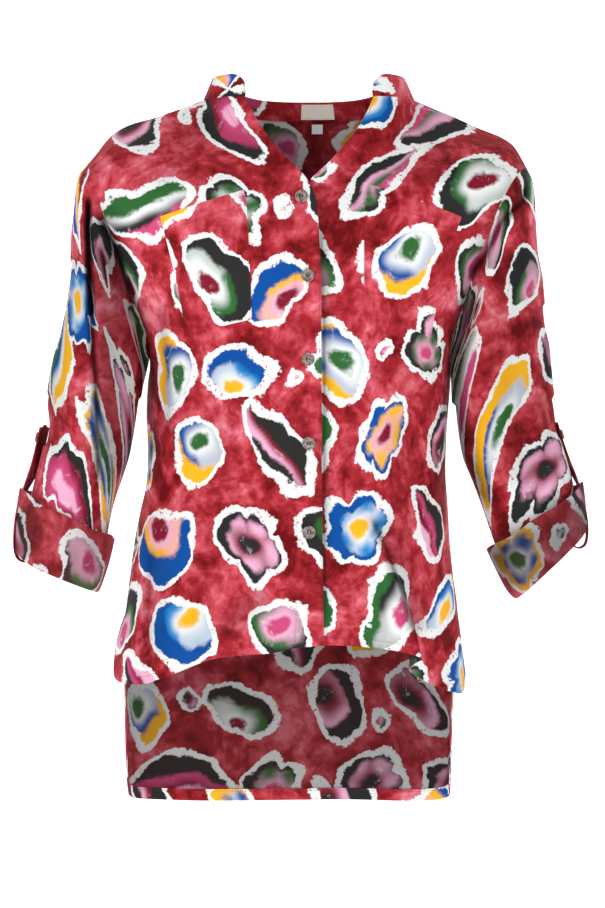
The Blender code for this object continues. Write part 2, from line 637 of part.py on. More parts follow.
for j in range(1, 2 * BACK_NECK_CELLS):
    joint = unit(back_n[-1, SHOULDER_CELLS + j] + seam_n[NECK_COL + j])
    back_n[-1, SHOULDER_CELLS + j] = joint
    seam_n[NECK_COL + j] = joint
steps = np.arange(len(seam_n), dtype=float)
where = np.concatenate([END_STEPS, steps[1:-1], steps[-1] - END_STEPS[::-1]])
collar_n[0] = unit(np.stack([np.interp(where, steps, seam_n[:, k]) for k in range(3)], -1))

# Fronts, their bands and pockets, and the sleeves with their rolled ends and tabs
for side in (RIGHT, LEFT):
    label = SIDE_NAME[side]
    panel = np.s_[:, BAND_CELLS:]
    outer = draw_back(draw_back(front[side][panel], True, True, 1), False, True, 0)
    shell("front_" + label, outer, thick(outer, front_n[side][panel], front_own[side][panel], WALL))
    edge = np.s_[:, :BAND_CELLS + 1]
    band = draw_back(draw_back(front[side][edge], False, True, 1), False, True, 0)
    band_inner = thick(band, front_n[side][edge], front_own[side][edge], BAND_IN)
    shell("placket_" + label, thick(band, -front_n[side][edge], -front_own[side][edge], BAND_OUT), band_inner)

    both = np.concatenate([outer, front_own[side][panel]], axis=-1)
    patch = quarter(both, [nearest_place(outer, x, z) for x, z in POCKET[side]], POCKET_UP, POCKET_ACROSS)
    patch, patch_n = patch[..., :3], unit(patch[..., 3:])
    shell("pocket_" + label, patch + patch_n * (POCKET_LAY + WALL), patch + patch_n * POCKET_LAY)

    tube = draw_back(sleeve[side], True, False, 0)
    shell("sleeve_" + label, tube, thick(tube, sleeve_n[side], sleeve_own[side], WALL), wrap=True)
    cuff = []
    for place, out in CUFF_LINE:
        near = sleeve_grid(side, [place - 0.05, place, place + 0.05])
        cuff.append(near[1] + normals(near, wrap=True)[1] * out)
    cuff = np.array(cuff)
    round_cuff = np.roll(cuff, -1, axis=1) - np.roll(cuff, 1, axis=1)
    cuff_n = unit(np.cross(round_cuff, np.gradient(cuff, axis=0)))
    shell("cuff_" + label, cuff + cuff_n * CUFF_HALF_WALL, cuff - cuff_n * CUFF_HALF_WALL, wrap=True)
    strip("tab_" + label, TAB_LINE[side], TAB_Y)
    x0, z0 = TAB_LINE[side][0]
    x1, z1 = TAB_LINE[side][1]
    facing = unit(np.array([z0 - z1, 0.0, x1 - x0], float))
    facing = facing * np.sign(facing[0] * side)
    middle = np.array([x0 * 0.25 + x1 * 0.75, TAB_Y, z0 * 0.25 + z1 * 0.75])
    button("tab_button_" + label, middle + facing * (TAB_HALF_WALL + LAY), facing, TAB_BUTTON_RADIUS)

outer = draw_back(draw_back(back, True, True, 1), False, True, 0)
shell("back", outer, thick(outer, back_n, back_own, WALL))
collar_outer = draw_back(collar, True, False, 0)
shell("collar", collar_outer, thick(collar_outer, collar_n, collar_own, COLLAR_THICK))

# Buttons down the middle of the upper band
line, line_n = front[RIGHT][:, BAND_CELLS // 2], front_own[RIGHT][:, BAND_CELLS // 2]
for number, z in enumerate(BUTTON_Z, 1):
    spot = np.array([np.interp(z, line[:, 2], line[:, k]) for k in range(3)])
    facing = unit(np.array([np.interp(z, line[:, 2], line_n[:, k]) for k in range(3)]))
    button("button_%d" % number, spot + facing * (BAND_OUT + LAY), facing, BUTTON_RADIUS)

# Labels inside the back neck, made from the points of what they lie on
inside = collar_outer - collar_own * (COLLAR_THICK + LAY)
middle_line = inside[1]
order = np.argsort(middle_line[len(middle_line) // 2 - 4:len(middle_line) // 2 + 5, 0])
first = len(middle_line) // 2 - 4
cols = np.interp(np.linspace(*LABEL_X, 4), middle_line[first + order, 0], first + order)
row_places, col_places = np.meshgrid(np.array([0.35, 1.5, 2.7]), cols, indexing="ij")
face = between(inside, row_places, col_places)
shell("neck_label", face, face - between(collar_own, row_places, col_places) * LABEL_WALL)
middle_col = BACK_COLS // 2
top, under = back[-1, middle_col], back[-2, middle_col]
hang = unit(under - top)
facing = back_own[-1, middle_col]
aside = np.array([1.0, 0.0, 0.0])
tag = np.array([
    [top + hang * down + aside * x - facing * lay for x in TAG_X] for down, lay in zip(TAG_DROP, TAG_LAY)
])
shell("size_label", tag, tag - facing * LABEL_WALL)
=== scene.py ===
"""Looks of a loose button-through blouse with rolled sleeves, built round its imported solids.

Millimetres inside the functions, metres in the scene. The front faces -Y, +Z is up, +X is the wearer's left.
"""
import math

import bmesh
import bpy
import numpy as np
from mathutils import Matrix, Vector


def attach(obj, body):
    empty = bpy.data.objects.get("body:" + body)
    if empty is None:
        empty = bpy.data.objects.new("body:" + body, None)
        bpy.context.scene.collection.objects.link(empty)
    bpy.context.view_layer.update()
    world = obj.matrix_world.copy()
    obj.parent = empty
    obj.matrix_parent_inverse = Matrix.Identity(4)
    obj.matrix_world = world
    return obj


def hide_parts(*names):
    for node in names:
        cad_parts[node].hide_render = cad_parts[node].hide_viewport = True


MM = 0.001
CLOTH = 0.7
HEM_CLOTH = 1.3
BAND_OUT, BAND_IN = 1.1, 0.6
COLLAR_THICK = 2.0
LAY = 0.3
RIGHT, LEFT = -1, 1
SIDE_NAME = {RIGHT: "right", LEFT: "left"}

BAND_CELLS, YOKE_CELLS, SHOULDER_CELLS, BACK_NECK_CELLS = 2, 3, 10, 6
ARM_CELLS, SIDE_CELLS, FRONT_TAIL_CELLS, BACK_TAIL_CELLS = 11, 8, 3, 5
SLEEVE_CELLS, COLLAR_CELLS, BACK_COLS = 13, 12, 2 * (BACK_NECK_CELLS + SHOULDER_CELLS)
# How many fine cells each coarse one becomes
FINE = {"front": 9, "back": 6, "sleeve": 12, "cuff": 7, "collar": 6}
X_AXIS, Z_AXIS = np.array([1.0, 0.0, 0.0]), np.array([0.0, 0.0, 1.0])
FAR_OFF = 1e3

CENTRE_X, MIDDLE_Y = 1.0, 20.0
VENT_Z = -560.0
BAND_HALF = 0.048
NECK_SIGMA = 0.24

# The body's sections: height, right side x, left side x, side seam y, front y, back y
SECTIONS = (
    (-800, -200, 159, 22, -124, 112),
    (-700, -206, 165, 22, -124, 110),
    (-640, -217, 176, 20, -124, 108),
    (-600, -212, 170, 20, -124, 106),
    (-560, -201, 165, 22, -123, 104),
    (-500, -194, 158, 25, -122, 100),
    (-450, -185, 155, 28, -122, 97),
    (-400, -176, 152, 29, -123, 96),
    (-360, -179, 154, 29, -124, 98),
    (-320, -178, 157, 29, -126, 101),
    (-274, -173, 160, 28, -128, 105),
    (-225, -170, 161, 28, -128, 108),
)
# Side edges below the vents: height, right x, left x, y
BACK_TAIL = ((-800, -199, 158, 40), (-700, -203, 160, 38), (-620, -204, 163, 32), (-560, -201, 165, 22))
FRONT_TAIL = ((-660, -218, 177, 2), (-600, -212, 170, 12), (-560, -202, 165, 22))
# Hem heights along the section, from the front edge (about 0) to the side (1)
FRONT_HEM = {
    RIGHT: (
        (-0.06, -594), (0.03, -596), (0.114, -602), (0.245, -606), (0.345, -611), (0.424, -621),
        (0.54, -632), (0.65, -639), (0.78, -639), (0.89, -634), (1.0, -618),
    ),
    LEFT: (
        (-0.06, -594), (0.1, -594), (0.3, -598), (0.42, -604), (0.52, -614), (0.6, -622),
        (0.7, -636), (0.8, -646), (0.9, -651), (0.96, -648), (1.0, -632),
    ),
}
BACK_HEM = ((0.0, -780), (0.4, -779), (0.7, -776), (0.88, -772), (0.95, -766), (1.0, -752))
BACK_MIDDLE = ((-262, 106), (-200, 108), (-150, 107), (-100, 100), (-60, 91), (-17, 78))
# Front edge from the bust level up to the collar: x, y, z
FRONT_EDGE = {
    RIGHT: (
        (15, -128, -240), (14, -127, -200), (12, -124, -160), (9.5, -119, -125), (5, -115, -104),
        (-14, -105, -81), (-36, -92, -56), (-55, -74, -28), (-69.5, -55.3, -1),
    ),
    LEFT: (
        (-13, -128, -240), (-12, -127, -200), (-10, -124, -160), (-5, -119, -120), (3, -115, -96),
        (18, -105, -80), (38, -92, -58), (57, -75, -32), (71.5, -55.3, -1),
    ),
}
# Shoulder seam from the neck point to the top of the sleeve: x, y, z
SHOULDER = {
    RIGHT: (
        (-115, 5, 0), (-139, 5, -9), (-154, 5, -14), (-171, 5, -20), (-187, 5, -24),
        (-203, 5, -30), (-214, 5, -37), (-224, 5, -47), (-233, 5, -59), (-242, 5, -70),
    ),
    LEFT: (
        (117, 5, 0), (143, 5, -11), (160, 5, -18), (171, 5, -23), (186, 5, -30),
        (204, 5, -37), (217, 5, -43), (227, 5, -51), (234, 5, -62), (241, 5, -75),
    ),
}
NECK_HALF, NECK_FRONT, NECK_BACK, NECK_Y, NECK_DROP = 116.0, 76.0, 73.0, 5.0, 17.0
COLLAR_ANGLE = math.acos(70.5 / NECK_HALF)
COLLAR_FRONT, COLLAR_BACK, COLLAR_CORNER = 26.0, 22.0, 22.0
UNDERARM = {RIGHT: (-173, 28, -274), LEFT: (160, 28, -264)}
ARM_FRONT, ARM_BACK = 72.0, 63.0
ARM_BOW = {RIGHT: (0.0, -4.0), LEFT: (-14.0, 2.0)}
# Sleeve rings: outer x, outer z, inner x, inner z, outer y, inner y, half depth
SLEEVE = {
    RIGHT: (
        (-242, -70, -173, -274, 5, 28, 66), (-254, -88, -176, -284, 5, 20, 66),
        (-258, -130, -180, -297, 4, 12, 63), (-260, -175, -184, -314, 3, 6, 59),
        (-265, -222, -187, -335, 2, 2, 56), (-276, -272, -191, -363, 0, 0, 54),
        (-285, -322, -196, -390, -2, -2, 52), (-287, -357, -206, -422, -3, -3, 50),
        (-296, -402, -217, -458, -4, -4, 49), (-307, -448, -223, -497, -5, -5, 48),
        (-311, -489, -230, -527, -6, -6, 47), (-313, -515, -234, -547, -6, -6, 46),
    ),
    LEFT: (
        (241, -75, 160, -264, 5, 28, 66), (249, -96, 161, -276, 5, 20, 66),
        (251, -136, 161, -290, 4, 12, 63), (254, -180, 161.5, -308, 3, 6, 59),
        (258, -225, 162, -329, 2, 2, 56), (263, -275, 164, -353, 0, 0, 54),
        (267, -320, 169, -388, -2, -2, 52), (275, -362, 181, -420, -3, -3, 50),
        (286, -400, 193, -452, -4, -4, 49), (294, -437, 205, -488, -5, -5, 48),
        (297, -466, 218, -520, -6, -6, 47), (299, -486, 230, -540, -6, -6, 46),
    ),
}
SLEEVE_END = 10.0
SLEEVE_FOLD = {RIGHT: 0.31, LEFT: 0.29}
# The rolled end as one turned strip: place along the sleeve, distance out from it
CUFF_LINE = (
    (9.5, -3.4), (10.35, -3.4), (10.55, -2.2), (10.65, 0.3),
    (10.55, 2.8), (10.0, 4.6), (9.2, 5.8), (8.6, 6.9),
)
CUFF_HALF_WALL = 0.5
# How the rolled ends sag: down and aside at the inner end, rise of the lower outer corner, outer end aside
CUFF_LIE = {RIGHT: (0.0, 0.0, 9.0, -7.0), LEFT: (19.0, 5.0, 5.0, 5.0)}
# Waves round the rolled ends, outwards and up: height, count, phase
CUFF_SWAY, CUFF_RISE = ((0.9, 7, 2.0), (0.5, 11, 0.0)), ((2.6, 2, 0.6), (1.4, 5, 0.0))
# Tabs outside the sleeves: x, z down the outside, round the rolled end and up inside it
TAB_LINE = {
    RIGHT: (
        (-293, -357), (-297, -376), (-303, -400), (-311, -424), (-318, -444), (-321.5, -466), (-322.5, -484),
        (-321.5, -497), (-317.5, -505), (-309, -507.5), (-302, -500), (-299.5, -484),
    ),
    LEFT: (
        (272, -351), (279, -374), (286, -394), (293.5, -413), (300, -433), (304.5, -452), (306.5, -468),
        (306, -483), (302.5, -490.5), (295, -492), (287, -484), (284, -466),
    ),
}
TAB_WIDTH, TAB_HALF_WALL, TAB_Y, TAB_POINT, TAB_FINE, TAB_ROWS = 24.0, 0.7, -4.0, 11.0, 6, 17
TAB_TWIST, TAB_TWIST_END, TAB_TWIST_FADE = 0.34, {RIGHT: -450.0, LEFT: -430.0}, 45.0
# Patch pocket corners, x and z: inner bottom, outer bottom, outer top, inner top
POCKET = {
    RIGHT: ((-60.5, -245), (-131, -263), (-159, -134), (-68.5, -107)),
    LEFT: ((59.5, -241), (132, -263), (165, -134), (66, -101)),
}
POCKET_CELLS, POCKET_LAY = 60, 0.35
# Labels: the neck label's x and its rows on the collar, the size tab's x, drop and distance from the back
LABEL_X, LABEL_ROWS, LABEL_ROW, LABEL_CELLS, LABEL_WALL = (-7.5, 29.5), (1.4, 10.8), 4, (13, 25), 0.5
TAG_X, TAG_DROP, TAG_LAY, TAG_CELLS = (3.4, 15.6), (2.8, 13.8), (3.2, 2.3), 9
BUTTON_Z = (-114, -199, -288, -378, -473)
BUTTON_RADIUS, BUTTON_THICK, TAB_BUTTON_RADIUS, BUTTON_LAY = 7.0, 2.4, 5.5, 0.3
# How far the under front is pressed in along its edge: height, distance
UNDER_LAP = (
    (-650, 3.9), (-240, 4.6), (-165, 7.0), (-130, 9.0), (-104, 11.0), (-85, 9.5), (-50, 2.5), (-20, 0), (5, 0),
)
# Hem fold of the wearer's left front: place from the fold, sideways and forward movement
HEM_FOLD = (
    (-0.5, 0, 0), (-0.2, 2, -4), (-0.06, 6, -13), (0.0, 8, -17), (0.08, -16, -9), (0.16, -33, 2),
    (0.3, -21, 2), (0.45, -7, 0), (0.6, 0, 0),
)

# Inks of the print, and its palettes: rim arc, second colour, middle, core
INKS = {
    "black": (0.022, 0.022, 0.022),
    "green": (0.028, 0.135, 0.032),
    "blue": (0.002, 0.075, 0.34),
    "sky": (0.015, 0.22, 0.56),
    "yellow": (0.93, 0.47, 0.014),
    "pink": (0.60, 0.07, 0.20),
    "rose": (0.84, 0.42, 0.60),
    "white": (0.84, 0.87, 0.86),
    "wine": (0.22, 0.008, 0.025),
}
PALETTES = (
    ("black", "green", "rose", "pink"),
    ("blue", "sky", "white", "yellow"),
    ("green", "black", "white", "pink"),
    ("blue", "yellow", "rose", "wine"),
    ("black", "wine", "pink", "rose"),
    ("yellow", "blue", "white", "green"),
    ("black", "green", "white", "wine"),
    ("black", "rose", "wine", "black"),
)


def unit(v):
    return v / np.maximum(np.linalg.norm(v, axis=-1, keepdims=True), 1e-9)


def ease(t):
    """0 at 0 and 1 at 1, level at both ends."""
    t = np.clip(t, 0.0, 1.0)
    return t * t * (3.0 - 2.0 * t)


def hill(t):
    """1 at 0, falling off to both sides."""
    return np.exp(-(t**2))


def waves(t, parts):
    """Sum of sine waves: height, count, phase."""
    return sum(high * np.sin(count * t + phase) for high, count, phase in parts)


def arc(grid, axis=0):
    """Distance along one axis of a path or grid of points, from its first point or line."""
    step = np.linalg.norm(np.diff(grid, axis=axis), axis=-1)
    first = np.zeros_like(np.take(step, [0], axis=axis))
    return np.cumsum(np.concatenate([first, step], axis=axis), axis=axis)


def sample(values, reach, where):
    """Values along a path, at places between those in reach."""
    return np.stack([np.interp(where, reach, values[:, k]) for k in range(3)], -1)


def curve(rows, at):
    """Smooth values, without overshoot, from a table whose first column rises."""
    rows = np.array(rows, float)
    x, y = rows[:, 0], rows[:, 1:]
    rate = np.diff(y, axis=0) / np.diff(x)[:, None]
    before, after = rate[:-1], rate[1:]
    same_way = before * after > 0
    both = np.where(same_way, before + after, 1.0)
    slope = np.concatenate([rate[:1], np.where(same_way, 2.0 * before * after / both, 0.0), rate[-1:]])
    at = np.clip(np.asarray(at, float), x[0], x[-1])
    i = np.clip(np.searchsorted(x, at) - 1, 0, len(x) - 2)
    h = (x[i + 1] - x[i])[..., None]
    t = (at - x[i])[..., None] / h
    a = y[i] * (2 * t**3 - 3 * t**2 + 1) + y[i + 1] * (3 * t**2 - 2 * t**3)
    return a + h * (slope[i] * (t**3 - 2 * t**2 + t) + slope[i + 1] * (t**3 - t**2))


def along(points, fraction):
    """Points at the given fractions of a path's length."""
    points = np.array(points, float)
    length = arc(points)
    return curve(np.column_stack([length / length[-1], points]), fraction)


def armhole(side, half, r):
    """The seam between body and sleeve, from the underarm (0) to the shoulder (1)."""
    low, top = np.array(UNDERARM[side], float), np.array(SHOULDER[side][-1], float)
    rise, bulge = np.sin(np.pi * r / 2)[..., None], np.sin(np.pi * r)
    p = low + (top - low) * rise
    p[..., 0] += bulge * ARM_BOW[side][0 if half < 0 else 1]
    p[..., 1] += bulge * (-ARM_FRONT if half < 0 else ARM_BACK)
    return p


def neck_front(side, u):
    """Neck seam from the front end of the collar (0) to the neck point (1)."""
    angle = COLLAR_ANGLE * (1.0 - u)
    x = CENTRE_X + side * NECK_HALF * np.cos(angle)
    return np.stack([x, NECK_Y - NECK_FRONT * np.sin(angle), -1.2 * np.sin(angle)], -1)


def neck_back(side, u):
    """Neck seam from the middle of the back (0) to the neck point (1)."""
    angle = np.pi / 2 * (1.0 - u)
    x = CENTRE_X + side * NECK_HALF * np.cos(angle)
    return np.stack([x, NECK_Y + NECK_BACK * np.sin(angle), -NECK_DROP * ease(np.sin(angle) ** 1.5)], -1)


def front_columns():
    """Place of each front column round the section, and along the neck and shoulder seams."""
    band = np.linspace(-BAND_HALF, BAND_HALF, BAND_CELLS + 1)
    yoke = np.linspace(BAND_HALF, NECK_SIGMA, YOKE_CELLS + 1)[1:]
    shoulder = np.linspace(NECK_SIGMA, 1.0, SHOULDER_CELLS + 1)[1:]
    share = 28.0 / 75.0
    neck = np.concatenate([np.linspace(0, share, BAND_CELLS + 1), np.linspace(share, 1, YOKE_CELLS + 1)[1:]])
    return np.concatenate([band, yoke, shoulder]), neck, np.linspace(0, 1, SHOULDER_CELLS + 1)[1:]


def back_columns():
    """The same for one half of the back."""
    neck = np.linspace(0, NECK_SIGMA * 1.6, BACK_NECK_CELLS + 1)
    shoulder = np.linspace(neck[-1], 1.0, SHOULDER_CELLS + 1)[1:]
    return np.concatenate([neck, shoulder]), neck / neck[-1], np.linspace(0, 1, SHOULDER_CELLS + 1)[1:]


def row_heights(z_under, z_hem, tail_cells):
    """Heights of the rows below the underarm for every column."""
    low = z_hem[-1]
    side = np.concatenate([
        np.linspace(z_under[-1], VENT_Z, SIDE_CELLS + 1)[1:],
        np.linspace(VENT_Z, low, tail_cells + 1)[1:],
    ])
    share = (side - z_under[-1]) / (low - z_under[-1])
    return z_under[None, :] + (z_hem - z_under)[None, :] * share[:, None]


def level_points(side, half, z, angle):
    """Points of one row of a body half at heights z."""
    right, left, side_y, front_y, back_y = np.moveaxis(curve(SECTIONS, z), -1, 0)
    below = curve(FRONT_TAIL if half < 0 else BACK_TAIL, z)
    use = ease((VENT_Z - z) / 30.0)
    edge_x = right if side == RIGHT else left
    edge_x = edge_x + (below[..., 0 if side == RIGHT else 1] - edge_x) * use
    side_y = side_y + (below[..., 2] - side_y) * use
    main_y = front_y if half < 0 else back_y
    x = CENTRE_X + (edge_x - CENTRE_X) * np.sin(angle)
    return np.stack([x, side_y + (main_y - side_y) * np.cos(angle), z], -1)


def body_half(side, half):
    """Outer surface of one front (half -1) or one half of the back (half 1), rows from hem to shoulder."""
    sigma, neck, shoulder = front_columns() if half < 0 else back_columns()
    rise = np.linspace(0, 1, ARM_CELLS + 1)
    if half < 0:
        z_mid, tail_cells = FRONT_EDGE[side][0][2], FRONT_TAIL_CELLS
        z_hem = curve(FRONT_HEM[side], sigma)[:, 0]
        top = np.concatenate([neck_front(side, neck), along(SHOULDER[side], shoulder)])
        edge = along(FRONT_EDGE[side], rise)
    else:
        z_mid, tail_cells = BACK_MIDDLE[0][0], BACK_TAIL_CELLS
        z_hem = curve(BACK_HEM, sigma)[:, 0]
        top = np.concatenate([neck_back(side, neck), along(SHOULDER[side], shoulder)])
        z_line = z_mid + (-NECK_DROP - z_mid) * rise
        edge = np.stack([np.full_like(rise, CENTRE_X), curve(BACK_MIDDLE, z_line)[:, 0], z_line], -1)
    c = np.clip(sigma, 0, 1)
    z_under = z_mid + (UNDERARM[side][2] - z_mid) * c**1.3
    angle = np.pi / 2 * sigma
    base = level_points(side, half, z_under, angle)
    lower = np.array([level_points(side, half, z, angle) for z in row_heights(z_under, z_hem, tail_cells)])

    arm = armhole(side, half, rise)
    base[-1], edge[0] = arm[0], base[0]
    across = (c**2 if half > 0 else c**1.6)[None, :, None]
    up = (rise**1.5)[:, None, None]
    low_line = (1 - across) * base[0] + across * base[-1]
    top_line = (1 - across) * top[0] + across * top[-1]
    patch = (1 - up) * base[None] + up * top[None]
    patch = patch + (1 - across) * edge[:, None] + across * arm[:, None]
    patch = patch - (1 - up) * low_line - up * top_line
    grid = np.concatenate([lower[::-1], patch])
    keep = len(lower)
    weight = np.exp(-(((np.arange(len(grid)) - keep) / 3.5) ** 2))[:, None, None] * 0.5
    for _ in range(10):
        soft = grid.copy()
        soft[1:-1, 1:-1] = (grid[:-2, 1:-1] + grid[2:, 1:-1] + grid[1:-1, :-2] + grid[1:-1, 2:]) / 4
        grid = grid + (soft - grid) * weight
    bulge = np.sin(np.pi * c)[None, :] * np.sin(np.pi * rise**0.8)[:, None]
    grid[keep:, :, 1] += half * bulge * 11.0
    return grid


def round_steps(grid):
    """Steps round a tube, whose last column repeats its first."""
    ring = grid[:, :-1]
    steps = np.roll(ring, -1, axis=1) - np.roll(ring, 1, axis=1)
    return np.concatenate([steps, steps[:, :1]], axis=1)


def normals(grid, tube=False):
    """Unit normals of a grid of points, all facing away from the middle of the body or sleeve."""
    if tube:
        across, middle = round_steps(grid), grid[:, :-1].mean(axis=1, keepdims=True)
    else:
        across, middle = np.gradient(grid, axis=1), np.array([CENTRE_X, MIDDLE_Y, 0.0]) + grid * Z_AXIS
    facing = unit(np.cross(across, np.gradient(grid, axis=0)))
    return facing * np.sign((facing * (grid - middle)).sum())


def sleeve_grid(side, places):
    """Sleeve surface at places along its rings, round from the underarm by the front to the back."""
    rows = np.array(SLEEVE[side], float)
    table = np.column_stack([np.arange(len(rows)), rows])
    r = np.linspace(0, 1, ARM_CELLS + 1)
    rings = []
    for k in places:
        ox, oz, ix, iz, oy, iy, depth = curve(table, k)
        early = float(ease(1.0 - k / 3.0))
        rise = early * np.sin(np.pi * r / 2) + (1 - early) * (1 - np.cos(np.pi * r)) / 2
        ring = []
        for half in (-1, 1):
            own = (ARM_FRONT if half < 0 else ARM_BACK) * early + depth * (1 - early)
            bow = ARM_BOW[side][0 if half < 0 else 1] * early
            x = ix + (ox - ix) * rise + bow * np.sin(np.pi * r)
            y = iy + (oy - iy) * rise + half * own * np.sin(np.pi * r)
            ring.append(np.stack([x, y, iz + (oz - iz) * rise], -1))
        rings.append(np.concatenate([ring[0], ring[1][-2:0:-1], ring[0][:1]]))
    return np.array(rings)


def fold_front(grid, side):
    """The large folds of a front, growing towards the hem."""
    sigma = front_columns()[0][None, :] + 0 * grid[..., 0]
    z = grid[..., 2].copy()
    free = ease((sigma - 0.08) / 0.15) * ease((1 - sigma) / 0.12)
    if side == LEFT:
        grow = ease((-470 - z) / 170.0) * free
        place = 0.36 + 0.1 * ease((-484 - z) / 130.0)
        move = curve(HEM_FOLD, sigma - place)
        grid[..., 0] += move[..., 0] * grow
        grid[..., 1] += move[..., 1] * grow
        wave = np.sin(6.0 * sigma + 0.8) * 3.0
    else:
        wave = np.sin(9.0 * sigma - 0.4) * 5.0
    grid[..., 1] += wave * ease((-330 - z) / 280.0) * free
    return grid


def fold_back(grid, sigma):
    """Soft waves of the back towards its hem."""
    free = ease((1 - np.abs(sigma)) / 0.15)
    grid[..., 1] += np.sin(7.5 * sigma + 0.6) * 7.0 * ease((-330 - grid[..., 2]) / 350.0) * free
    return grid


def fold_sleeve(grid, side):
    """Long fold down the front of a sleeve."""
    turn = np.arange(grid.shape[1]) / (grid.shape[1] - 1)
    length = np.linspace(0, 1, len(grid))[:, None]
    grow = ease(length / 0.3) * ease((1.0 - length) / 0.25)
    away = turn[None, :] - SLEEVE_FOLD[side]
    ridge = np.where(away > 0, hill(away / 0.07), hill(away / 0.03))
    return grid + normals(grid, tube=True) * (4.0 * (ridge - hill((away + 0.07) / 0.04)) * grow)[..., None]


def collar_grid(base):
    """Standing collar over the points of the neck seam, and its outward directions."""
    length = arc(base)
    from_end = np.minimum(length, length[-1] - length)
    behind = ease((base[:, 1] - 10.0) / 60.0)
    corner = np.clip(1.0 - from_end / COLLAR_CORNER, 0.0, 1.0)
    height = COLLAR_FRONT + (COLLAR_BACK - COLLAR_FRONT) * behind
    height = height - COLLAR_CORNER * 0.9 * (1.0 - np.sqrt(np.maximum(1.0 - corner**2, 0.0)))
    out = unit((base - np.array([CENTRE_X, NECK_Y, 0.0])) * np.array([1.0, 1.0, 0.0]))
    lean = 0.12 + 0.3 * ease((base[:, 1] + 60.0) / 60.0) * (1.0 - 0.35 * behind)
    rise = unit(Z_AXIS - out * lean[:, None])
    share = np.linspace(0, 1, COLLAR_CELLS + 1)
    grid = base[None] + rise[None] * (height[None] * share[:, None])[..., None]
    facing = unit(out - rise * (out * rise).sum(-1, keepdims=True))
    return grid, np.repeat(facing[None], COLLAR_CELLS + 1, axis=0)


def spline(grid, n, axis=0, tube=False):
    """n times as many cells along one axis, by cubic curves through the grid's points."""
    p = np.moveaxis(grid, axis, 0)
    count = len(p) - 1
    if tube:
        wide = np.concatenate([p[-2:-1], p, p[1:2]])
    else:
        wide = np.concatenate([2 * p[:1] - p[1:2], p, 2 * p[-1:] - p[-2:-1]])
    place = np.arange(count * n + 1) / n
    i = np.minimum(place.astype(int), count - 1)
    u = (place - i).reshape((-1,) + (1,) * (p.ndim - 1))
    a, b, c, d = wide[i], wide[i + 1], wide[i + 2], wide[i + 3]
    made = 0.5 * (2 * b + (c - a) * u + (2 * a - 5 * b + 4 * c - d) * u**2 + (3 * b - a - 3 * c + d) * u**3)
    return np.moveaxis(made, 0, axis)


def smooth_up(grid, n, tube=False):
    return spline(spline(grid, n, 0), n, 1, tube)


def between(grid, row, col):
    """Value of a grid at places between its rows and columns."""
    i = np.clip(np.floor(row).astype(int), 0, grid.shape[0] - 2)
    j = np.clip(np.floor(col).astype(int), 0, grid.shape[1] - 2)
    u, v = (row - i)[..., None], (col - j)[..., None]
    near = grid[i, j] * (1 - v) + grid[i, j + 1] * v
    far = grid[i + 1, j] * (1 - v) + grid[i + 1, j + 1] * v
    return near * (1 - u) + far * u


def nearest_place(grid, x, z):
    """Row and column at which a front panel passes a point seen from the front."""
    off = (grid[..., 0] - x) ** 2 + (grid[..., 2] - z) ** 2
    best = np.unravel_index(np.argmin(off), off.shape)
    return float(best[0]), float(best[1])


def quarter(grid, corners, up, across):
    """Grid of values inside four corners given as rows and columns of another grid."""
    corners = np.array(corners)
    v, u = np.meshgrid(np.linspace(0, 1, up + 1), np.linspace(0, 1, across + 1), indexing="ij")
    v, u = v[..., None], u[..., None]
    place = (corners[0] * (1 - u) + corners[1] * u) * (1 - v) + (corners[3] * (1 - u) + corners[2] * u) * v
    return between(grid, place[..., 0], place[..., 1])


# The front view's frame: pixels across and down, camera distance, millimetres to a pixel on the plane y = 0
FRAME_WIDE, FRAME_HIGH, CAMERA_FAR, PIXEL = 605, 908, 4200.0, 1.1
CAMERA_X, CAMERA_Z = -6.05, -389.4
# Points behind this depth belong less and less to the front
FRONT_END, FRONT_FADE = 20.0, 45.0
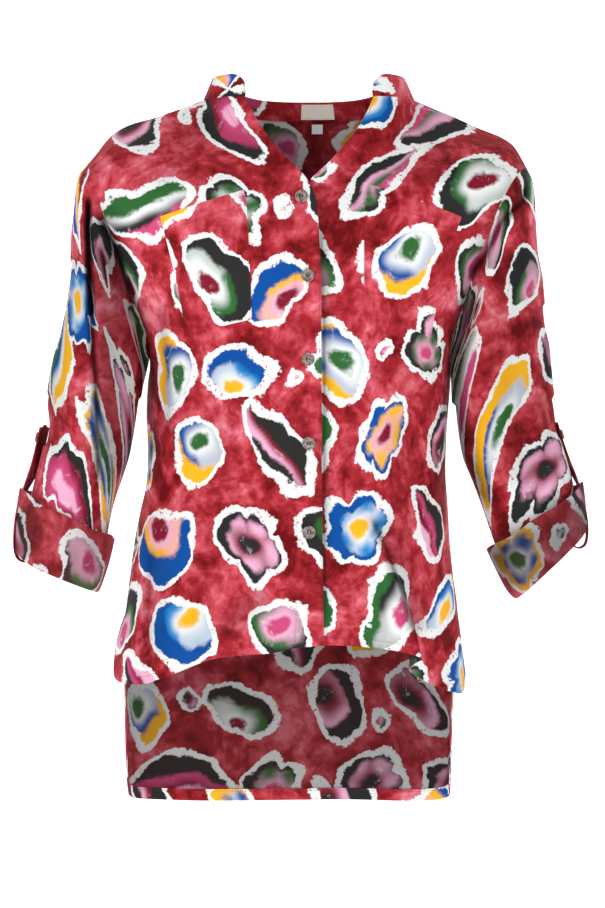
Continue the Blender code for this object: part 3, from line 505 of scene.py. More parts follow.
# Folds as lines in that frame, going down. Each has bumps (place to the viewer's right of the line and width
# in pixels, height towards the viewer in millimetres) and strips of painted shade (place, width, strength)
FOLDS = (
    # Wearer's right sleeve: the long fold, its deep part, the shaded inner part
    (((88, 186), (86, 205), (85.5, 228), (86.5, 270), (89, 310), (91.4, 356), (94, 378), (95, 410),
      (97, 500)), ((-6, 6, 4.0), (2, 3, -6.0)), ((1.5, 2.2, 0.8), (17, 19, 0.42))),
    (((86, 192), (85.5, 228), (86.5, 270), (89, 322)), ((2.5, 3.4, -11.0),), ((2.6, 3.2, 0.95),)),
    (((112, 230), (113, 330), (108, 430), (100, 505)), ((0, 12, -2.0),), ((0, 22, 0.34),)),
    (((72, 240), (62, 300), (56, 360), (50, 470)), ((-4, 6, 2.0), (5, 7, -2.0)), ((0, 17, 0.26),)),
    (((30, 500), (28, 530), (34, 560)), ((0, 8, -1.0),), ((0, 11, 0.3),)),
    (((92, 505), (96, 545), (88, 580)), ((0, 9, -1.0),), ((0, 13, 0.3),)),
    # Front lying over the sleeve
    (((99, 206), (102, 213), (118, 246), (130, 282), (139.5, 316), (149.5, 349), (151, 372)),
     ((6, 7, 3.0), (-3, 3.5, -9.0)), ((-3, 3.2, 0.92), (-12, 9, 0.3))),
    (((164, 300), (165, 330), (169, 380), (169, 419), (166, 440)),
     ((-4, 8, -3.5), (6, 9, 2.5)), ((-2, 6, 0.32),)),
    (((147, 350), (147, 372), (148, 400), (150, 430), (153, 458)), ((0, 6, -4.0),), ((0, 7, 0.75),)),
    # Lower right front
    (((150, 540), (147, 578), (145, 620), (143, 670)),
     ((-5, 8, 3.0), (3, 6, -5.0)), ((2, 5, 0.35), (12, 12, 0.14))),
    (((270, 590), (246, 606), (229, 622), (222, 640)), ((0, 10, -3.0),), ((0, 10, 0.34),)),
    (((214, 340), (219, 450), (232, 560)), ((0, 17, -3.0), (26, 14, 2.0)), ((0, 14, 0.08),)),
    (((196, 520), (188, 590), (184, 665)), ((0, 13, 3.0),), ((14, 9, 0.12),)),
    # Wearer's left sleeve: slanting fold, shaded inner edge, soft creases, painted shade over its rolled end
    (((532, 180), (525, 204), (505, 222), (497, 238), (486, 260), (478, 270), (469, 286)),
     ((5, 6, 4.0), (-4, 4, -8.0)), ((-3, 3.4, 0.75), (-13, 11, 0.3))),
    (((469, 284), (462, 315), (455, 340), (452, 375), (455, 410), (463, 450), (476, 486), (490, 522)),
     ((8, 7, -2.0),), ((4, 9, 0.68),)),
    (((512, 230), (506, 330), (515, 430), (530, 500)), ((0, 14, -3.0), (20, 10, 2.0)), ((0, 32, 0.32),)),
    (((548, 330), (552, 400), (556, 440)), ((-5, 5, -2.5), (3, 4, 2.0)), ((-4, 4, 0.22),)),
    (((492, 545), (512, 578), (545, 575), (575, 552)), ((0, 10, -1.0),), ((0, 17, 0.5),)),
    (((540, 508), (562, 500), (584, 520), (588, 535)), ((0, 6, -1.0),), ((0, 9, 0.35),)),
    (((478, 562), (510, 548), (540, 540), (606, 528)), (), ((0, 32, 0.6),)),
    # Lower left front: fold running to the hem
    (((367, 514), (384, 550), (403, 602), (414, 640)),
     ((-6, 6, 4.0), (4, 4, -7.0)), ((2.5, 2.4, 0.7), (10, 10, 0.34))),
    # Painted shadow of the upper front's edge, on the under front
    (((315.5, 196), (318, 219), (319.5, 259), (322, 330), (322, 480), (322, 642)), ((6, 4, -1.0),),
     ((2.2, 1.8, 0.6), (5, 4, 0.2))),
    (((402, 410), (404, 480), (408, 545)), ((0, 12, -3.0), (-18, 12, 2.5)), ((0, 10, 0.1),)),
    (((452, 470), (454, 560), (458, 640)), ((0, 9, -2.0),), ((2, 9, 0.2),)),
    (((345, 420), (350, 520), (352, 600)), ((-6, 12, -2.0),), ((0, 7, 0.06),)),
    # Yokes and the lie of the fronts below the shoulders
    (((212, 112), (180, 150), (160, 190)), ((0, 12, -2.5), (16, 12, 2.0)), ((0, 11, 0.12),)),
    (((420, 112), (440, 150), (455, 185)), ((0, 12, -2.5), (-16, 12, 2.0)), ((0, 11, 0.12),)),
)
FOLD_FADE = 0.12
RIPPLES = ((0.060, 0.022, 0.4, 0.9), (0.034, 0.094, 1.9, 0.7), (0.122, 0.046, 4.0, 0.4))


def front_view(grid):
    """Pixel places of points, and how much each belongs to the front."""
    depth = CAMERA_FAR / (CAMERA_FAR + grid[..., 1])
    across = FRAME_WIDE / 2 + (grid[..., 0] - CAMERA_X) / PIXEL * depth
    down = FRAME_HIGH / 2 - (grid[..., 2] - CAMERA_Z) / PIXEL * depth
    return across, down, ease((FRONT_END - grid[..., 1]) / FRONT_FADE)


def line_places(line, across, down):
    """Signed distance to the viewer's right of a line going down, and its fading towards the line's ends."""
    line = np.array(line, float)
    length = arc(line)
    best = np.full(across.shape, FAR_OFF)
    off, share = np.zeros(across.shape), np.zeros(across.shape)
    for a, b, start in zip(line, line[1:], length):
        run = b - a
        size = np.hypot(*run)
        t = ((across - a[0]) * run[0] + (down - a[1]) * run[1]) / size
        held = np.clip(t, 0, size)
        far = np.hypot(across - a[0] - run[0] * held / size, down - a[1] - run[1] * held / size)
        cross = (run[1] * (across - a[0]) - run[0] * (down - a[1])) / size
        closer = far < best
        best = np.where(closer, far, best)
        off = np.where(closer, np.sign(cross) * far, off)
        share = np.where(closer, (start + t) / length[-1], share)
    return off, ease(share / FOLD_FADE) * ease((1 - share) / FOLD_FADE)


def crease(grid):
    """Move the front-facing part of a grid towards or away from the viewer along the folds."""
    across, down, front_share = front_view(grid)
    lift = np.zeros(across.shape)
    for line, bumps, _ in FOLDS:
        off, fade = line_places(line, across, down)
        for place, wide, high in bumps:
            lift += high * hill((off - place) / wide) * fade
    for a, b, phase, high in RIPPLES:
        lift += high * np.sin(a * across + b * down + phase)
    moved = grid.copy()
    moved[..., 1] -= lift * front_share
    return moved


def painted_fold_light(grid):
    """Share of the light left to each point of the front by the folds' strips of painted shade."""
    across, down, front_share = front_view(grid)
    light = np.ones(across.shape)
    for line, _, strips in FOLDS:
        off, fade = line_places(line, across, down)
        for place, wide, strength in strips:
            light *= 1.0 - strength * hill((off - place) / wide) * fade * front_share
    return light


# Short steps in the sleeves' outlines: place round the sleeve (0 inner, 0.5 outer), first and last pixel row,
# movement out
OUTLINE_STEPS = {
    RIGHT: ((0.5, 404, 446, -4.5), (0.5, 330, 396, 2.0), (0.0, 345, 400, 2.5), (0.5, 205, 262, 1.8)),
    LEFT: ((0.5, 250, 307, 3.0), (0.5, 320, 399, 3.2), (0.0, 322, 406, 4.0), (0.5, 404, 440, -2.0)),
}
STEP_WIDE, STEP_SOFT, STEP_SHARP = 0.07, 30.0, 4.0


def step_outline(grid, side):
    """Press and lift the sleeve's outer and inner edges in short steps."""
    down = front_view(grid)[1]
    turn = np.linspace(0, 1, grid.shape[1])[None, :]
    move = np.zeros(down.shape)
    for place, first, last, out in OUTLINE_STEPS[side]:
        away = np.abs(turn - place)
        away = np.minimum(away, 1 - away)
        window = ease((down - first) / STEP_SOFT) * ease((last - down) / STEP_SHARP)
        move += out * window * hill(away / STEP_WIDE)
    return grid + normals(grid, tube=True) * move[..., None]


# The print: soft-edged blossoms, leaves, rounds and drops on a loose, uneven layout
MOTIF_PITCH, MOTIF_ROW, MOTIF_SHIFT, MOTIF_GAP = 108.0, 90.0, 10.0, 8.0
ROW_SHIFT, GAP_SHIFT, MOTIF_STRETCH, SMALL_STRETCH = 9, 20, (1.0, 1.45), 1.15
MOTIF_SIZE, SMALL_SIZE = (34.0, 47.0), (9.0, 16.0)
KINDS = BLOSSOM, LEAF, ROUND, DROP = range(4)
# First numbers of the random draws of each piece's layout
SEEDS = {"front": 11, "pocket": 31, "sleeve": 41, "cuff": 51, "back": 71, "hem": 91, "collar": 177}


def motifs(seed, low, high):
    """Motifs over a cut piece: centre, size, stretch, turn, kind and palette of each."""
    draw = np.random.RandomState(seed)
    found, gaps = [], []
    row = 0
    v = low[1] - MOTIF_ROW + draw.uniform(0, MOTIF_ROW)
    while v < high[1] + MOTIF_ROW:
        u = low[0] - MOTIF_PITCH + (row % 2) * MOTIF_PITCH / 2 + draw.uniform(-ROW_SHIFT, ROW_SHIFT)
        while u < high[0] + MOTIF_PITCH:
            shift = draw.uniform(-MOTIF_SHIFT, MOTIF_SHIFT, 2)
            size, stretch = draw.uniform(*MOTIF_SIZE), draw.uniform(*MOTIF_STRETCH)
            turn = draw.uniform(0, 2 * np.pi)
            kind, palette = draw.randint(len(KINDS)), draw.randint(len(PALETTES))
            size = size / math.sqrt(stretch)
            found.append((u + shift[0], v + shift[1], size, stretch, turn, kind, palette))
            aside = draw.uniform(-GAP_SHIFT, GAP_SHIFT)
            gaps.append((u + MOTIF_PITCH / 2, v + aside, turn, draw.randint(len(PALETTES))))
            u += MOTIF_PITCH
        v += MOTIF_ROW
        row += 1
    large = np.array([(m[0], m[1], m[2] * (1.0 + m[3]) / 2) for m in found])
    for u, v, turn, palette in gaps:
        free = (np.hypot(large[:, 0] - u, large[:, 1] - v) - large[:, 2]).min() - MOTIF_GAP
        if free > SMALL_SIZE[0]:
            found.append((u, v, min(free, SMALL_SIZE[1]), SMALL_STRETCH, turn, ROUND, palette))
    return found


def print_fields(u, v, seed):
    """The print at cut places u, v: distances outside the nearest motif's edge, inside its rim arc and inside
    its core, the strength of its second colour, and its four colours."""
    low, high = (u.min(), v.min()), (u.max(), v.max())
    fields = np.zeros(u.shape + (4,))
    fields[..., 0] = FAR_OFF
    inks = np.zeros(u.shape + (4, 3))
    u, v = (
        u + 5.0 * np.sin(v / 17 + seed) + 2.6 * np.sin((u + v) / 8.5 + 2 * seed),
        v + 5.0 * np.sin(u / 19 + 3 * seed) + 2.6 * np.sin((u - v) / 9.5 + seed),
    )
    for cu, cv, size, stretch, turn, kind, palette in motifs(seed, low, high):
        x, y = u - cu, v - cv
        near = x * x + y * y < (3.0 * size + 20.0) ** 2
        if not near.any():
            continue
        x, y = x[near], y[near]
        side = x * np.cos(turn) + y * np.sin(turn)
        long = (y * np.cos(turn) - x * np.sin(turn)) / stretch
        r, t = np.hypot(side, long), np.arctan2(long, side)
        if kind == BLOSSOM:
            petal = np.abs(np.cos(2.5 * t))
            reach = size * (0.78 + 0.26 * petal**0.6 + 0.03 * np.sin(3 * t + turn))
            off = (r - reach) * 0.92
            rim = (r / reach - 0.60 - 0.10 * np.cos(t + turn)) * size
            core = 0.25 * size - r
            second = ease((r / reach - 0.20) / 0.3) * (0.35 + 0.65 * petal)
        elif kind == LEAF:
            tall, wide = 1.36 * size, 0.76 * size
            big = (tall**2 + wide**2) / (2 * wide)
            off = np.hypot(np.abs(side) + big - wide, long) - big
            rim = -side - 0.16 * wide + 0.25 * np.abs(long) * wide / tall
            core = side - 0.42 * wide + 0.3 * long * wide / tall
            second = ease((side / wide + 0.05) / 0.4)
        else:
            if kind == ROUND:
                reach = size * (0.94 + 0.06 * np.sin(2 * t + turn) + 0.04 * np.cos(3 * t + 2 * turn))
            else:
                reach = size * (1.0 - 0.26 * np.cos(t) - 0.07 * np.cos(2 * t))
            off = r - reach
            aside = np.hypot(side - 0.26 * size, long + 0.12 * size)
            rim = aside - 0.72 * size
            core = 0.30 * size - aside
            second = ease((aside / size - 0.30) / 0.35) * (0.4 + 0.6 * ease((np.sin(t) + 0.5) / 0.6))
        here = np.stack([off, rim, core, second], -1)
        closer = (off < fields[near][:, 0])[:, None]
        fields[near] = np.where(closer, here, fields[near])
        own = np.array([INKS[ink] for ink in PALETTES[palette]])
        inks[near] = np.where(closer[..., None], own, inks[near])
    return fields, inks


def printed(u, v, seed):
    """Everything that a sheet needs for its print."""
    return (u, v) + print_fields(u, v, seed)


def unprinted(u, v):
    """The same for a sheet that shows the ground alone."""
    return u, v, np.full(u.shape + (4,), FAR_OFF), np.zeros(u.shape + (4, 3))


SHARP_EDGE = 55
INK_NAMES = ("rim", "second", "middle", "core")


def add_to_scene(name, data):
    thing = bpy.data.objects.new(name, data)
    bpy.context.scene.collection.objects.link(thing)
    return thing


def finish_object(name, mesh, mats, node):
    """A smooth piece of the blouse, riding on its body and standing for a solid."""
    thing = add_to_scene(name, mesh)
    for mat in mats:
        mesh.materials.append(mat)
    mesh.polygons.foreach_set("use_smooth", np.ones(len(mesh.polygons), bool))
    mesh.set_sharp_from_angle(angle=math.radians(SHARP_EDGE))
    mesh.update()
    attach(thing, "root")
    if node:
        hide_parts(node)
    return thing


def sheet_mesh(name, outer, inner, pattern=None, mats=None, node=None, slot_name="cloth"):
    """A closed sheet between two grids of points, with its print."""
    rows, cols = outer.shape[:2]
    half = rows * cols
    index = np.arange(half).reshape(rows, cols)
    a, b, c, d = index[:-1, :-1], index[:-1, 1:], index[1:, 1:], index[1:, :-1]
    front_faces = np.stack([a, b, c, d], -1).reshape(-1, 4)
    faces = [front_faces, front_faces[:, ::-1] + half]
    rims = [index[0], index[-1][::-1], index[:, -1], index[:, 0][::-1]]
    for rim in rims:
        p, q = rim[:-1], rim[1:]
        faces.append(np.stack([q, p, p + half, q + half], -1))
    faces = np.concatenate(faces)
    points = np.concatenate([outer.reshape(-1, 3), inner.reshape(-1, 3)]) * MM
    first = outer[:-1, :-1].reshape(-1, 3)
    turn = np.cross(outer[:-1, 1:].reshape(-1, 3) - first, outer[1:, :-1].reshape(-1, 3) - first)
    out = (outer - inner)[:-1, :-1].reshape(-1, 3)
    if (turn * out).sum() < 0:
        faces = faces[:, ::-1]
    mesh = bpy.data.meshes.new(name)
    mesh.from_pydata(points.tolist(), [], faces.tolist())
    sides = np.zeros(len(faces), np.int32)
    sides[len(front_faces):2 * len(front_faces)] = 1
    thing = finish_object(name, mesh, mats or [CLOTH_MAT, INNER_SHADED_MAT], node)
    if len(thing.data.materials) > 1:
        mesh.polygons.foreach_set("material_index", sides)
    if pattern is not None:
        u, v, fields, inks = pattern

        def store(attribute, values):
            values = np.tile(values.reshape(half, 3), (2, 1)).astype(np.float32).reshape(-1)
            mesh.attributes.new(attribute, "FLOAT_VECTOR", "POINT").data.foreach_set("vector", values)

        store("print_lines", fields[..., :3])
        store("cut", np.stack([u, v, fields[..., 3]], -1))
        # The folds' painted shade, stored as the share of light left
        store("light", np.repeat(painted_fold_light(outer)[..., None], 3, axis=-1))
        for number, ink in enumerate(INK_NAMES):
            store("ink_" + ink, inks[..., number, :])
    return thing


STITCH_STEP, STITCH_LONG, STITCH_WIDE, STITCH_HIGH, STITCH_SINK, STITCH_DEEP = 2.9, 2.3, 0.42, 0.32, 0.12, 0.2
STITCHES = {"points": [], "faces": []}
# A stitch has two ends, two sides, a top and a bottom
STITCH_FACES = ((0, 2, 4), (2, 1, 4), (1, 3, 4), (3, 0, 4), (2, 0, 5), (1, 2, 5), (3, 1, 5), (0, 3, 5))


def stitch(path, facing, step=STITCH_STEP, long=STITCH_LONG, wide=STITCH_WIDE):
    """A row of stitches lying on the cloth along a path."""
    length = arc(path)
    count = int(length[-1] / step)
    if count < 1:
        return
    at = (np.arange(count) + 0.5) * length[-1] / count
    middle, up = sample(path, length, at), unit(sample(facing, length, at))
    ahead = unit(sample(path, length, at + long / 2) - sample(path, length, at - long / 2))
    aside = np.cross(up, ahead)
    corners = [
        middle - ahead * long / 2 - up * STITCH_SINK, middle + ahead * long / 2 - up * STITCH_SINK,
        middle - aside * wide, middle + aside * wide, middle + up * STITCH_HIGH, middle - up * STITCH_DEEP,
    ]
    first = sum(len(p) for p in STITCHES["points"])
    base = first + len(corners) * np.arange(count)[:, None]
    STITCHES["points"].append(np.stack(corners, 1).reshape(-1, 3))
    STITCHES["faces"] += [row for face in STITCH_FACES for row in (base + np.array(face)).tolist()]


def inset(grid, facing, axis, last, distance):
    """The line at a distance in from one edge of a grid, with its directions out of the cloth."""
    lines, out = np.moveaxis(grid, axis, 0), np.moveaxis(facing, axis, 0)
    if last:
        lines, out = lines[::-1], out[::-1]
    reach = arc(lines, 0)
    row = np.clip((reach < distance).sum(0) - 1, 0, len(lines) - 2)
    j = np.arange(lines.shape[1])
    t = ((distance - reach[row, j]) / np.maximum(reach[row + 1, j] - reach[row, j], 1e-6))[:, None]
    return lines[row, j] * (1 - t) + lines[row + 1, j] * t, out[row, j]


def sew(grid, facing, rows, *size):
    """Rows of stitches on a grid: axis, whether at its last edge, distance in from the edge."""
    for axis, last, distance in rows:
        stitch(*inset(grid, facing, axis, last, distance), *size)


def all_edges(distance):
    return [(axis, last, distance) for axis in (0, 1) for last in (False, True)]


class Nodes:
    """Short way to build a material's nodes."""

    def __init__(self, name):
        self.mat = bpy.data.materials.new(name)
        self.mat.use_nodes = True
        self.tree = self.mat.node_tree
        self.shader = self.tree.nodes["Principled BSDF"]

    def link(self, value, socket):
        if isinstance(value, bpy.types.NodeSocket):
            self.tree.links.new(value, socket)
        else:
            socket.default_value = value

    def node(self, kind, inputs=(), **settings):
        """A new node with its settings, and its inputs by name or number."""
        made = self.tree.nodes.new(kind)
        for key, value in settings.items():
            setattr(made, key, value)
        for key, value in dict(inputs).items():
            self.link(value, made.inputs[key])
        return made

    def attribute(self, name, output="Vector"):
        return self.node("ShaderNodeAttribute", attribute_name=name).outputs[output]

    def split(self, vector):
        return self.node("ShaderNodeSeparateXYZ", {0: vector}).outputs[:]

    def place(self):
        return self.node("ShaderNodeTexCoord").outputs["Object"]

    def noise(self, vector, scale, detail=3.0, rough=0.55, warp=0.0):
        inputs = {"Vector": vector, "Scale": scale, "Detail": detail, "Roughness": rough, "Distortion": warp}
        return self.node("ShaderNodeTexNoise", inputs).outputs["Fac"]

    def math(self, operation, *values):
        return self.node("ShaderNodeMath", enumerate(values), operation=operation).outputs[0]

    def band(self, value, low, high):
        """0 below low and 1 above high, eased."""
        inputs = {"Value": value, "From Min": low, "From Max": high}
        return self.node("ShaderNodeMapRange", inputs, interpolation_type="SMOOTHSTEP").outputs["Result"]

    def mix(self, factor, a, b, blend="MIX"):
        a, b = (value if isinstance(value, bpy.types.NodeSocket) else (*value, 1.0) for value in (a, b))
        inputs = {0: factor, 6: a, 7: b}
        return self.node("ShaderNodeMix", inputs, data_type="RGBA", blend_type=blend).outputs[2]

    def ramp(self, factor, stops):
        node = self.node("ShaderNodeValToRGB", {0: factor})
        elements = node.color_ramp.elements
        while len(elements) < len(stops):
            elements.new(0.5)
        for element, (position, colour) in zip(elements, stops):
            element.position = position
            element.color = (*colour, 1.0)
        return node.outputs[0]

    def bump(self, height, strength, distance):
        inputs = {"Height": height, "Strength": strength, "Distance": distance}
        self.link(self.node("ShaderNodeBump", inputs).outputs["Normal"], self.shader.inputs["Normal"])

    def finish(self, colour, roughness, specular=0.4, sheen=0.0):
        """The material with its surface set."""
        inputs = {
            "Base Color": colour, "Roughness": roughness, "Specular IOR Level": specular,
            "Sheen Weight": sheen, "Sheen Roughness": SHEEN_ROUGHNESS,
        }
        for name, value in inputs.items():
            self.link(value, self.shader.inputs[name])
        return self.mat


# The ground from dark to light, and the mottle at which each of its colours lies
DEEP, GROUND, LIGHT, PALE = (
    (0.145, 0.002, 0.004), (0.38, 0.019, 0.029), (0.62, 0.080, 0.112), (0.80, 0.24, 0.30),
)
MOTTLE = ((0.43, DEEP), (0.54, GROUND), (0.63, LIGHT), (0.73, PALE))
OUTLINE_WHITE, OUTLINE_WIDTH, FADED = (0.86, 0.89, 0.88), 6.5, (0.30, 0.07, 0.08)
# How far the outlines' outer edge, their width and the insides' colours wander, in millimetres
EDGE_WANDER, WIDTH_WANDER, INK_WANDER = 12.0, 16.0, 14.0
# Heights, in metres, between which the painted shade of an inner face changes, darker below
PAINTED_SHADE_LOW, PAINTED_SHADE_HIGH = -0.5, -0.2
CLOTH_ROUGH, CLOTH_SPECULAR, CLOTH_SHEEN, SHEEN_ROUGHNESS = 0.78, 0.12, 0.01, 0.5


def mottled_ground(n, place):
    large = n.noise(place, 15.0, 4.0, 0.62, 0.7)
    small = n.noise(place, 60.0, 4.0, 0.6, 0.4)
    return n.ramp(n.math("MULTIPLY_ADD", small, 0.40, n.math("MULTIPLY", large, 0.72)), MOTTLE)


def cloth_material(name, fade, low_painted_light=1.0, high_painted_light=1.0):
    """Printed cloth: mottled ground, ragged pale outlines and soft coloured insides, with painted shade
    multiplied in.
    """
    n = Nodes(name)
    place = n.place()
    ground = mottled_ground(n, place)
    lines = n.split(n.attribute("print_lines"))
    cut = n.attribute("cut")
    second_share = n.split(cut)[2]
    rim, second, middle, core = (n.attribute("ink_" + ink) for ink in INK_NAMES)
    ragged = n.noise(place, 130.0, 6.0, 0.68, 0.4)
    wide = n.noise(place, 30.0, 2.0, 0.5, 0.2)
    streak = n.noise(place, 55.0, 5.0, 0.68, 0.9)
    outer = n.math("ADD", lines[0], n.math("MULTIPLY_ADD", ragged, EDGE_WANDER, -EDGE_WANDER / 2))
    width = n.math("MULTIPLY_ADD", wide, WIDTH_WANDER, OUTLINE_WIDTH - WIDTH_WANDER / 2)
    inner = n.math("ADD", outer, width)
    wander = n.math("MULTIPLY_ADD", streak, INK_WANDER, -INK_WANDER / 2)
    fill = n.mix(second_share, middle, second)
    fill = n.mix(n.band(n.math("ADD", lines[2], wander), -2.5, 3.0), fill, core)
    fill = n.mix(n.math("MULTIPLY", n.band(streak, 0.56, 0.74), 0.55), fill, OUTLINE_WHITE)
    fill = n.mix(n.band(n.math("ADD", lines[1], wander), -2.0, 4.5), fill, rim)
    speck = n.band(n.noise(place, 260.0, 2.0, 0.6, 0.0), 0.62, 0.67)
    white = n.mix(n.math("MULTIPLY", speck, n.band(wide, 0.45, 0.6)), OUTLINE_WHITE, LIGHT)
    colour = n.mix(n.band(outer, 0.5, -0.5), ground, white)
    colour = n.mix(n.band(inner, 0.7, -0.7), colour, fill)
    if fade:
        colour = n.mix(fade, colour, FADED)
        # Painted shade: darker towards the bottom, eased between the two heights
        height = n.band(n.split(place)[2], PAINTED_SHADE_LOW, PAINTED_SHADE_HIGH)
        colour = n.mix(1.0, colour, n.mix(height, (low_painted_light,) * 3, (high_painted_light,) * 3), "MULTIPLY")
    # The folds' painted shade darkens the colour
    colour = n.mix(1.0, colour, n.attribute("light", "Color"), "MULTIPLY")
    weave = n.noise(cut, 1.1, 2.0, 0.5)
    crumple = n.noise(place, 42.0, 3.0, 0.5, 0.3)
    n.bump(n.math("MULTIPLY_ADD", weave, 0.1, crumple), 0.30, 0.004)
    return n.finish(colour, CLOTH_ROUGH, CLOTH_SPECULAR, CLOTH_SHEEN)


def plain_material(name, colour, roughness, specular, second, scale):
    """A material of two colours in small spots."""
    n = Nodes(name)
    spots = n.noise(n.place(), scale, 3.0, 0.6, 0.5)
    n.bump(spots, 0.08, 0.0005)
    return n.finish(n.mix(n.band(spots, 0.35, 0.68), colour, second), roughness, specular)


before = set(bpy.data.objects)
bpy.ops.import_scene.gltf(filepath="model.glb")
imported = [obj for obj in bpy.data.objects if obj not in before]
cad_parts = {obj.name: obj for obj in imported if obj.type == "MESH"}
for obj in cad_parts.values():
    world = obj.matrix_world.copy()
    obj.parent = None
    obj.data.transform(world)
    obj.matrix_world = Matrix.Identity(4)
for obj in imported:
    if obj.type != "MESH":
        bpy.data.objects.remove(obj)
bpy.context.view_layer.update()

CLOTH_MAT = cloth_material("printed_cloth", 0.0)
# Darker copies of the print carrying painted shade: the rolled ends' faded wrong side, the faintly faded inner
# faces and the inside of the neck
WRONG_SIDE_SHADED_MAT = cloth_material("wrong_side_painted_shade", 0.14, 0.78, 0.78)
INNER_SHADED_MAT = cloth_material("inner_side_painted_shade", 0.06, 0.46, 0.62)
NECK_SHADED_MAT = cloth_material("neck_inside_painted_shade", 0.0, 0.55, 0.62)
SHELL_MAT = plain_material("shell_button", (0.10, 0.075, 0.07), 0.25, 0.5, (0.36, 0.30, 0.27), 300.0)
THREAD_MAT = plain_material("red_thread", (0.13, 0.004, 0.014), 0.7, 0.3, (0.104, 0.0032, 0.0112), 900.0)
LABEL_MAT = plain_material("cream_tape", (0.93, 0.87, 0.76), 0.8, 0.2, (0.80, 0.73, 0.62), 900.0)
WHITE_MAT = plain_material("white_tape", (0.93, 0.93, 0.92), 0.8, 0.2, (0.80, 0.80, 0.80), 900.0)

# Coarse surfaces: the fronts, the left one pressed in under the right one, the back and the sleeves
LAP_START, LAP_FADE = 0.06, 0.22
front = {side: fold_front(body_half(side, -1), side) for side in (RIGHT, LEFT)}
lap = curve(UNDER_LAP, front[LEFT][:, 0, 2]) * (1.0 - ease((front_columns()[0] - LAP_START) / LAP_FADE))
front[LEFT] = front[LEFT] - normals(front[LEFT]) * lap[..., None]
halves = {side: body_half(side, 1) for side in (RIGHT, LEFT)}
back_sigma = back_columns()[0]
back = np.concatenate([halves[RIGHT][:, ::-1], halves[LEFT][:, 1:]], axis=1)
back = fold_back(back, np.concatenate([-back_sigma[::-1], back_sigma[1:]])[None, :])
sleeve_places = np.linspace(0.0, SLEEVE_END, SLEEVE_CELLS + 1)

NECK_COL = BAND_CELLS + YOKE_CELLS
back_neck = back[-1, SHOULDER_CELLS:SHOULDER_CELLS + 2 * BACK_NECK_CELLS + 1]
seam = np.concatenate([front[RIGHT][-1, :NECK_COL], back_neck, front[LEFT][-1, :NECK_COL][::-1]])
collar, collar_own = collar_grid(spline(seam, FINE["collar"]))
inner_collar = collar - collar_own * COLLAR_THICK

fine_front = {side: crease(smooth_up(front[side], FINE["front"])) for side in (RIGHT, LEFT)}
fine_back = smooth_up(back, FINE["back"])

# Distances in from the edges, and the turned bands
HEM_STITCH, VENT_STITCH, EDGE_STITCH, BAND_STITCH, POCKET_HEM, BACK_HEM_STITCH = 8.0, 7.0, 2.2, 1.6, 17.0, 13.0
HEM_TURN, BACK_HEM_TURN, BACK_VENT_TURN, TURN_SOFT = 9.0, 14.0, 9.5, 1.5
BAND_LINES, BAND_WALL, BAND_LAY = 6, 0.5, 0.08


def from_middle(grid):
    """Distance across a grid from its middle line."""
    reach = arc(grid, 1)
    return reach - reach[:, grid.shape[1] // 2][:, None]


def turned_band(name, face, out, axis, last, width, seed):
    """The turned-up cloth along one edge of the back, sewn down with a row of stitches."""
    lines = [inset(face, out, axis, last, distance) for distance in np.linspace(0.0, width, BAND_LINES)]
    under, up = np.array([line[0] for line in lines]), np.array([line[1] for line in lines])
    upper = under + up * BAND_WALL
    pattern = printed(arc(under, 1), -arc(under, 0), SEEDS["hem"] + seed)
    sheet_mesh("cloth_back_" + name, upper, under, pattern, mats=[CLOTH_MAT, CLOTH_MAT])
    sew(upper, up, [(0, True, EDGE_STITCH)])


def hem_walls(grid, turn):
    """Cloth thickness over a grid, doubled along the turned-up hem."""
    return CLOTH + (HEM_CLOTH - CLOTH) * ease((turn - arc(grid, 0)) / TURN_SOFT)[..., None]


def make_front(side):
    """One front and its band, cut from one stretch of print, and the front's surface for the pocket."""
    label, whole = SIDE_NAME[side], fine_front[side]
    facing = normals(whole)
    pattern = printed(arc(whole, 1) * side, whole[..., 2], SEEDS["front"] + side)
    split = BAND_CELLS * FINE["front"]
    panel, band = np.s_[:, split:], np.s_[:, :split + 1]
    outer, outer_n = whole[panel], facing[panel]
    sheet_mesh("cloth_front_" + label, outer, outer - outer_n * hem_walls(outer, HEM_TURN),
               [part[panel] for part in pattern], node="front_" + label)
    sew(outer, outer_n, [(0, False, HEM_STITCH)])
    vent = np.s_[:FRONT_TAIL_CELLS * FINE["front"]]
    sew(outer[vent], outer_n[vent], [(1, True, VENT_STITCH)])
    band_outer = whole[band] + facing[band] * BAND_OUT
    sheet_mesh("cloth_placket_" + label, band_outer, whole[band] - facing[band] * BAND_IN,
               [part[band] for part in pattern], node="placket_" + label)
    sew(band_outer, facing[band], ((1, True, BAND_STITCH), (1, False, EDGE_STITCH), (0, False, HEM_STITCH)))
    return outer, outer_n


def make_pocket(side, outer, outer_n):
    """A patch pocket lying on a front."""
    corners = [nearest_place(outer, x, z) for x, z in POCKET[side]]
    patch = quarter(np.concatenate([outer, outer_n], axis=-1), corners, POCKET_CELLS, POCKET_CELLS)
    patch, patch_n = patch[..., :3], unit(patch[..., 3:])
    patch_outer = patch + patch_n * (POCKET_LAY + CLOTH)
    sheet_mesh("cloth_pocket_" + SIDE_NAME[side], patch_outer, patch + patch_n * POCKET_LAY,
               printed(arc(patch, 1) * side, patch[..., 2], SEEDS["pocket"] + side),
               node="pocket_" + SIDE_NAME[side])
    edges = ((1, False, EDGE_STITCH), (1, True, EDGE_STITCH), (0, False, EDGE_STITCH), (0, True, POCKET_HEM))
    sew(patch_outer, patch_n, edges)


def make_sleeve(side):
    """A sleeve from the armhole to the fold of its rolled end."""
    tube = smooth_up(fold_sleeve(sleeve_grid(side, sleeve_places), side), FINE["sleeve"], tube=True)
    tube = crease(step_outline(tube, side))
    sheet_mesh("cloth_sleeve_" + SIDE_NAME[side], tube, tube - normals(tube, tube=True) * CLOTH,
               printed(from_middle(tube), arc(tube, 0), SEEDS["sleeve"] + side),
               node="sleeve_" + SIDE_NAME[side])


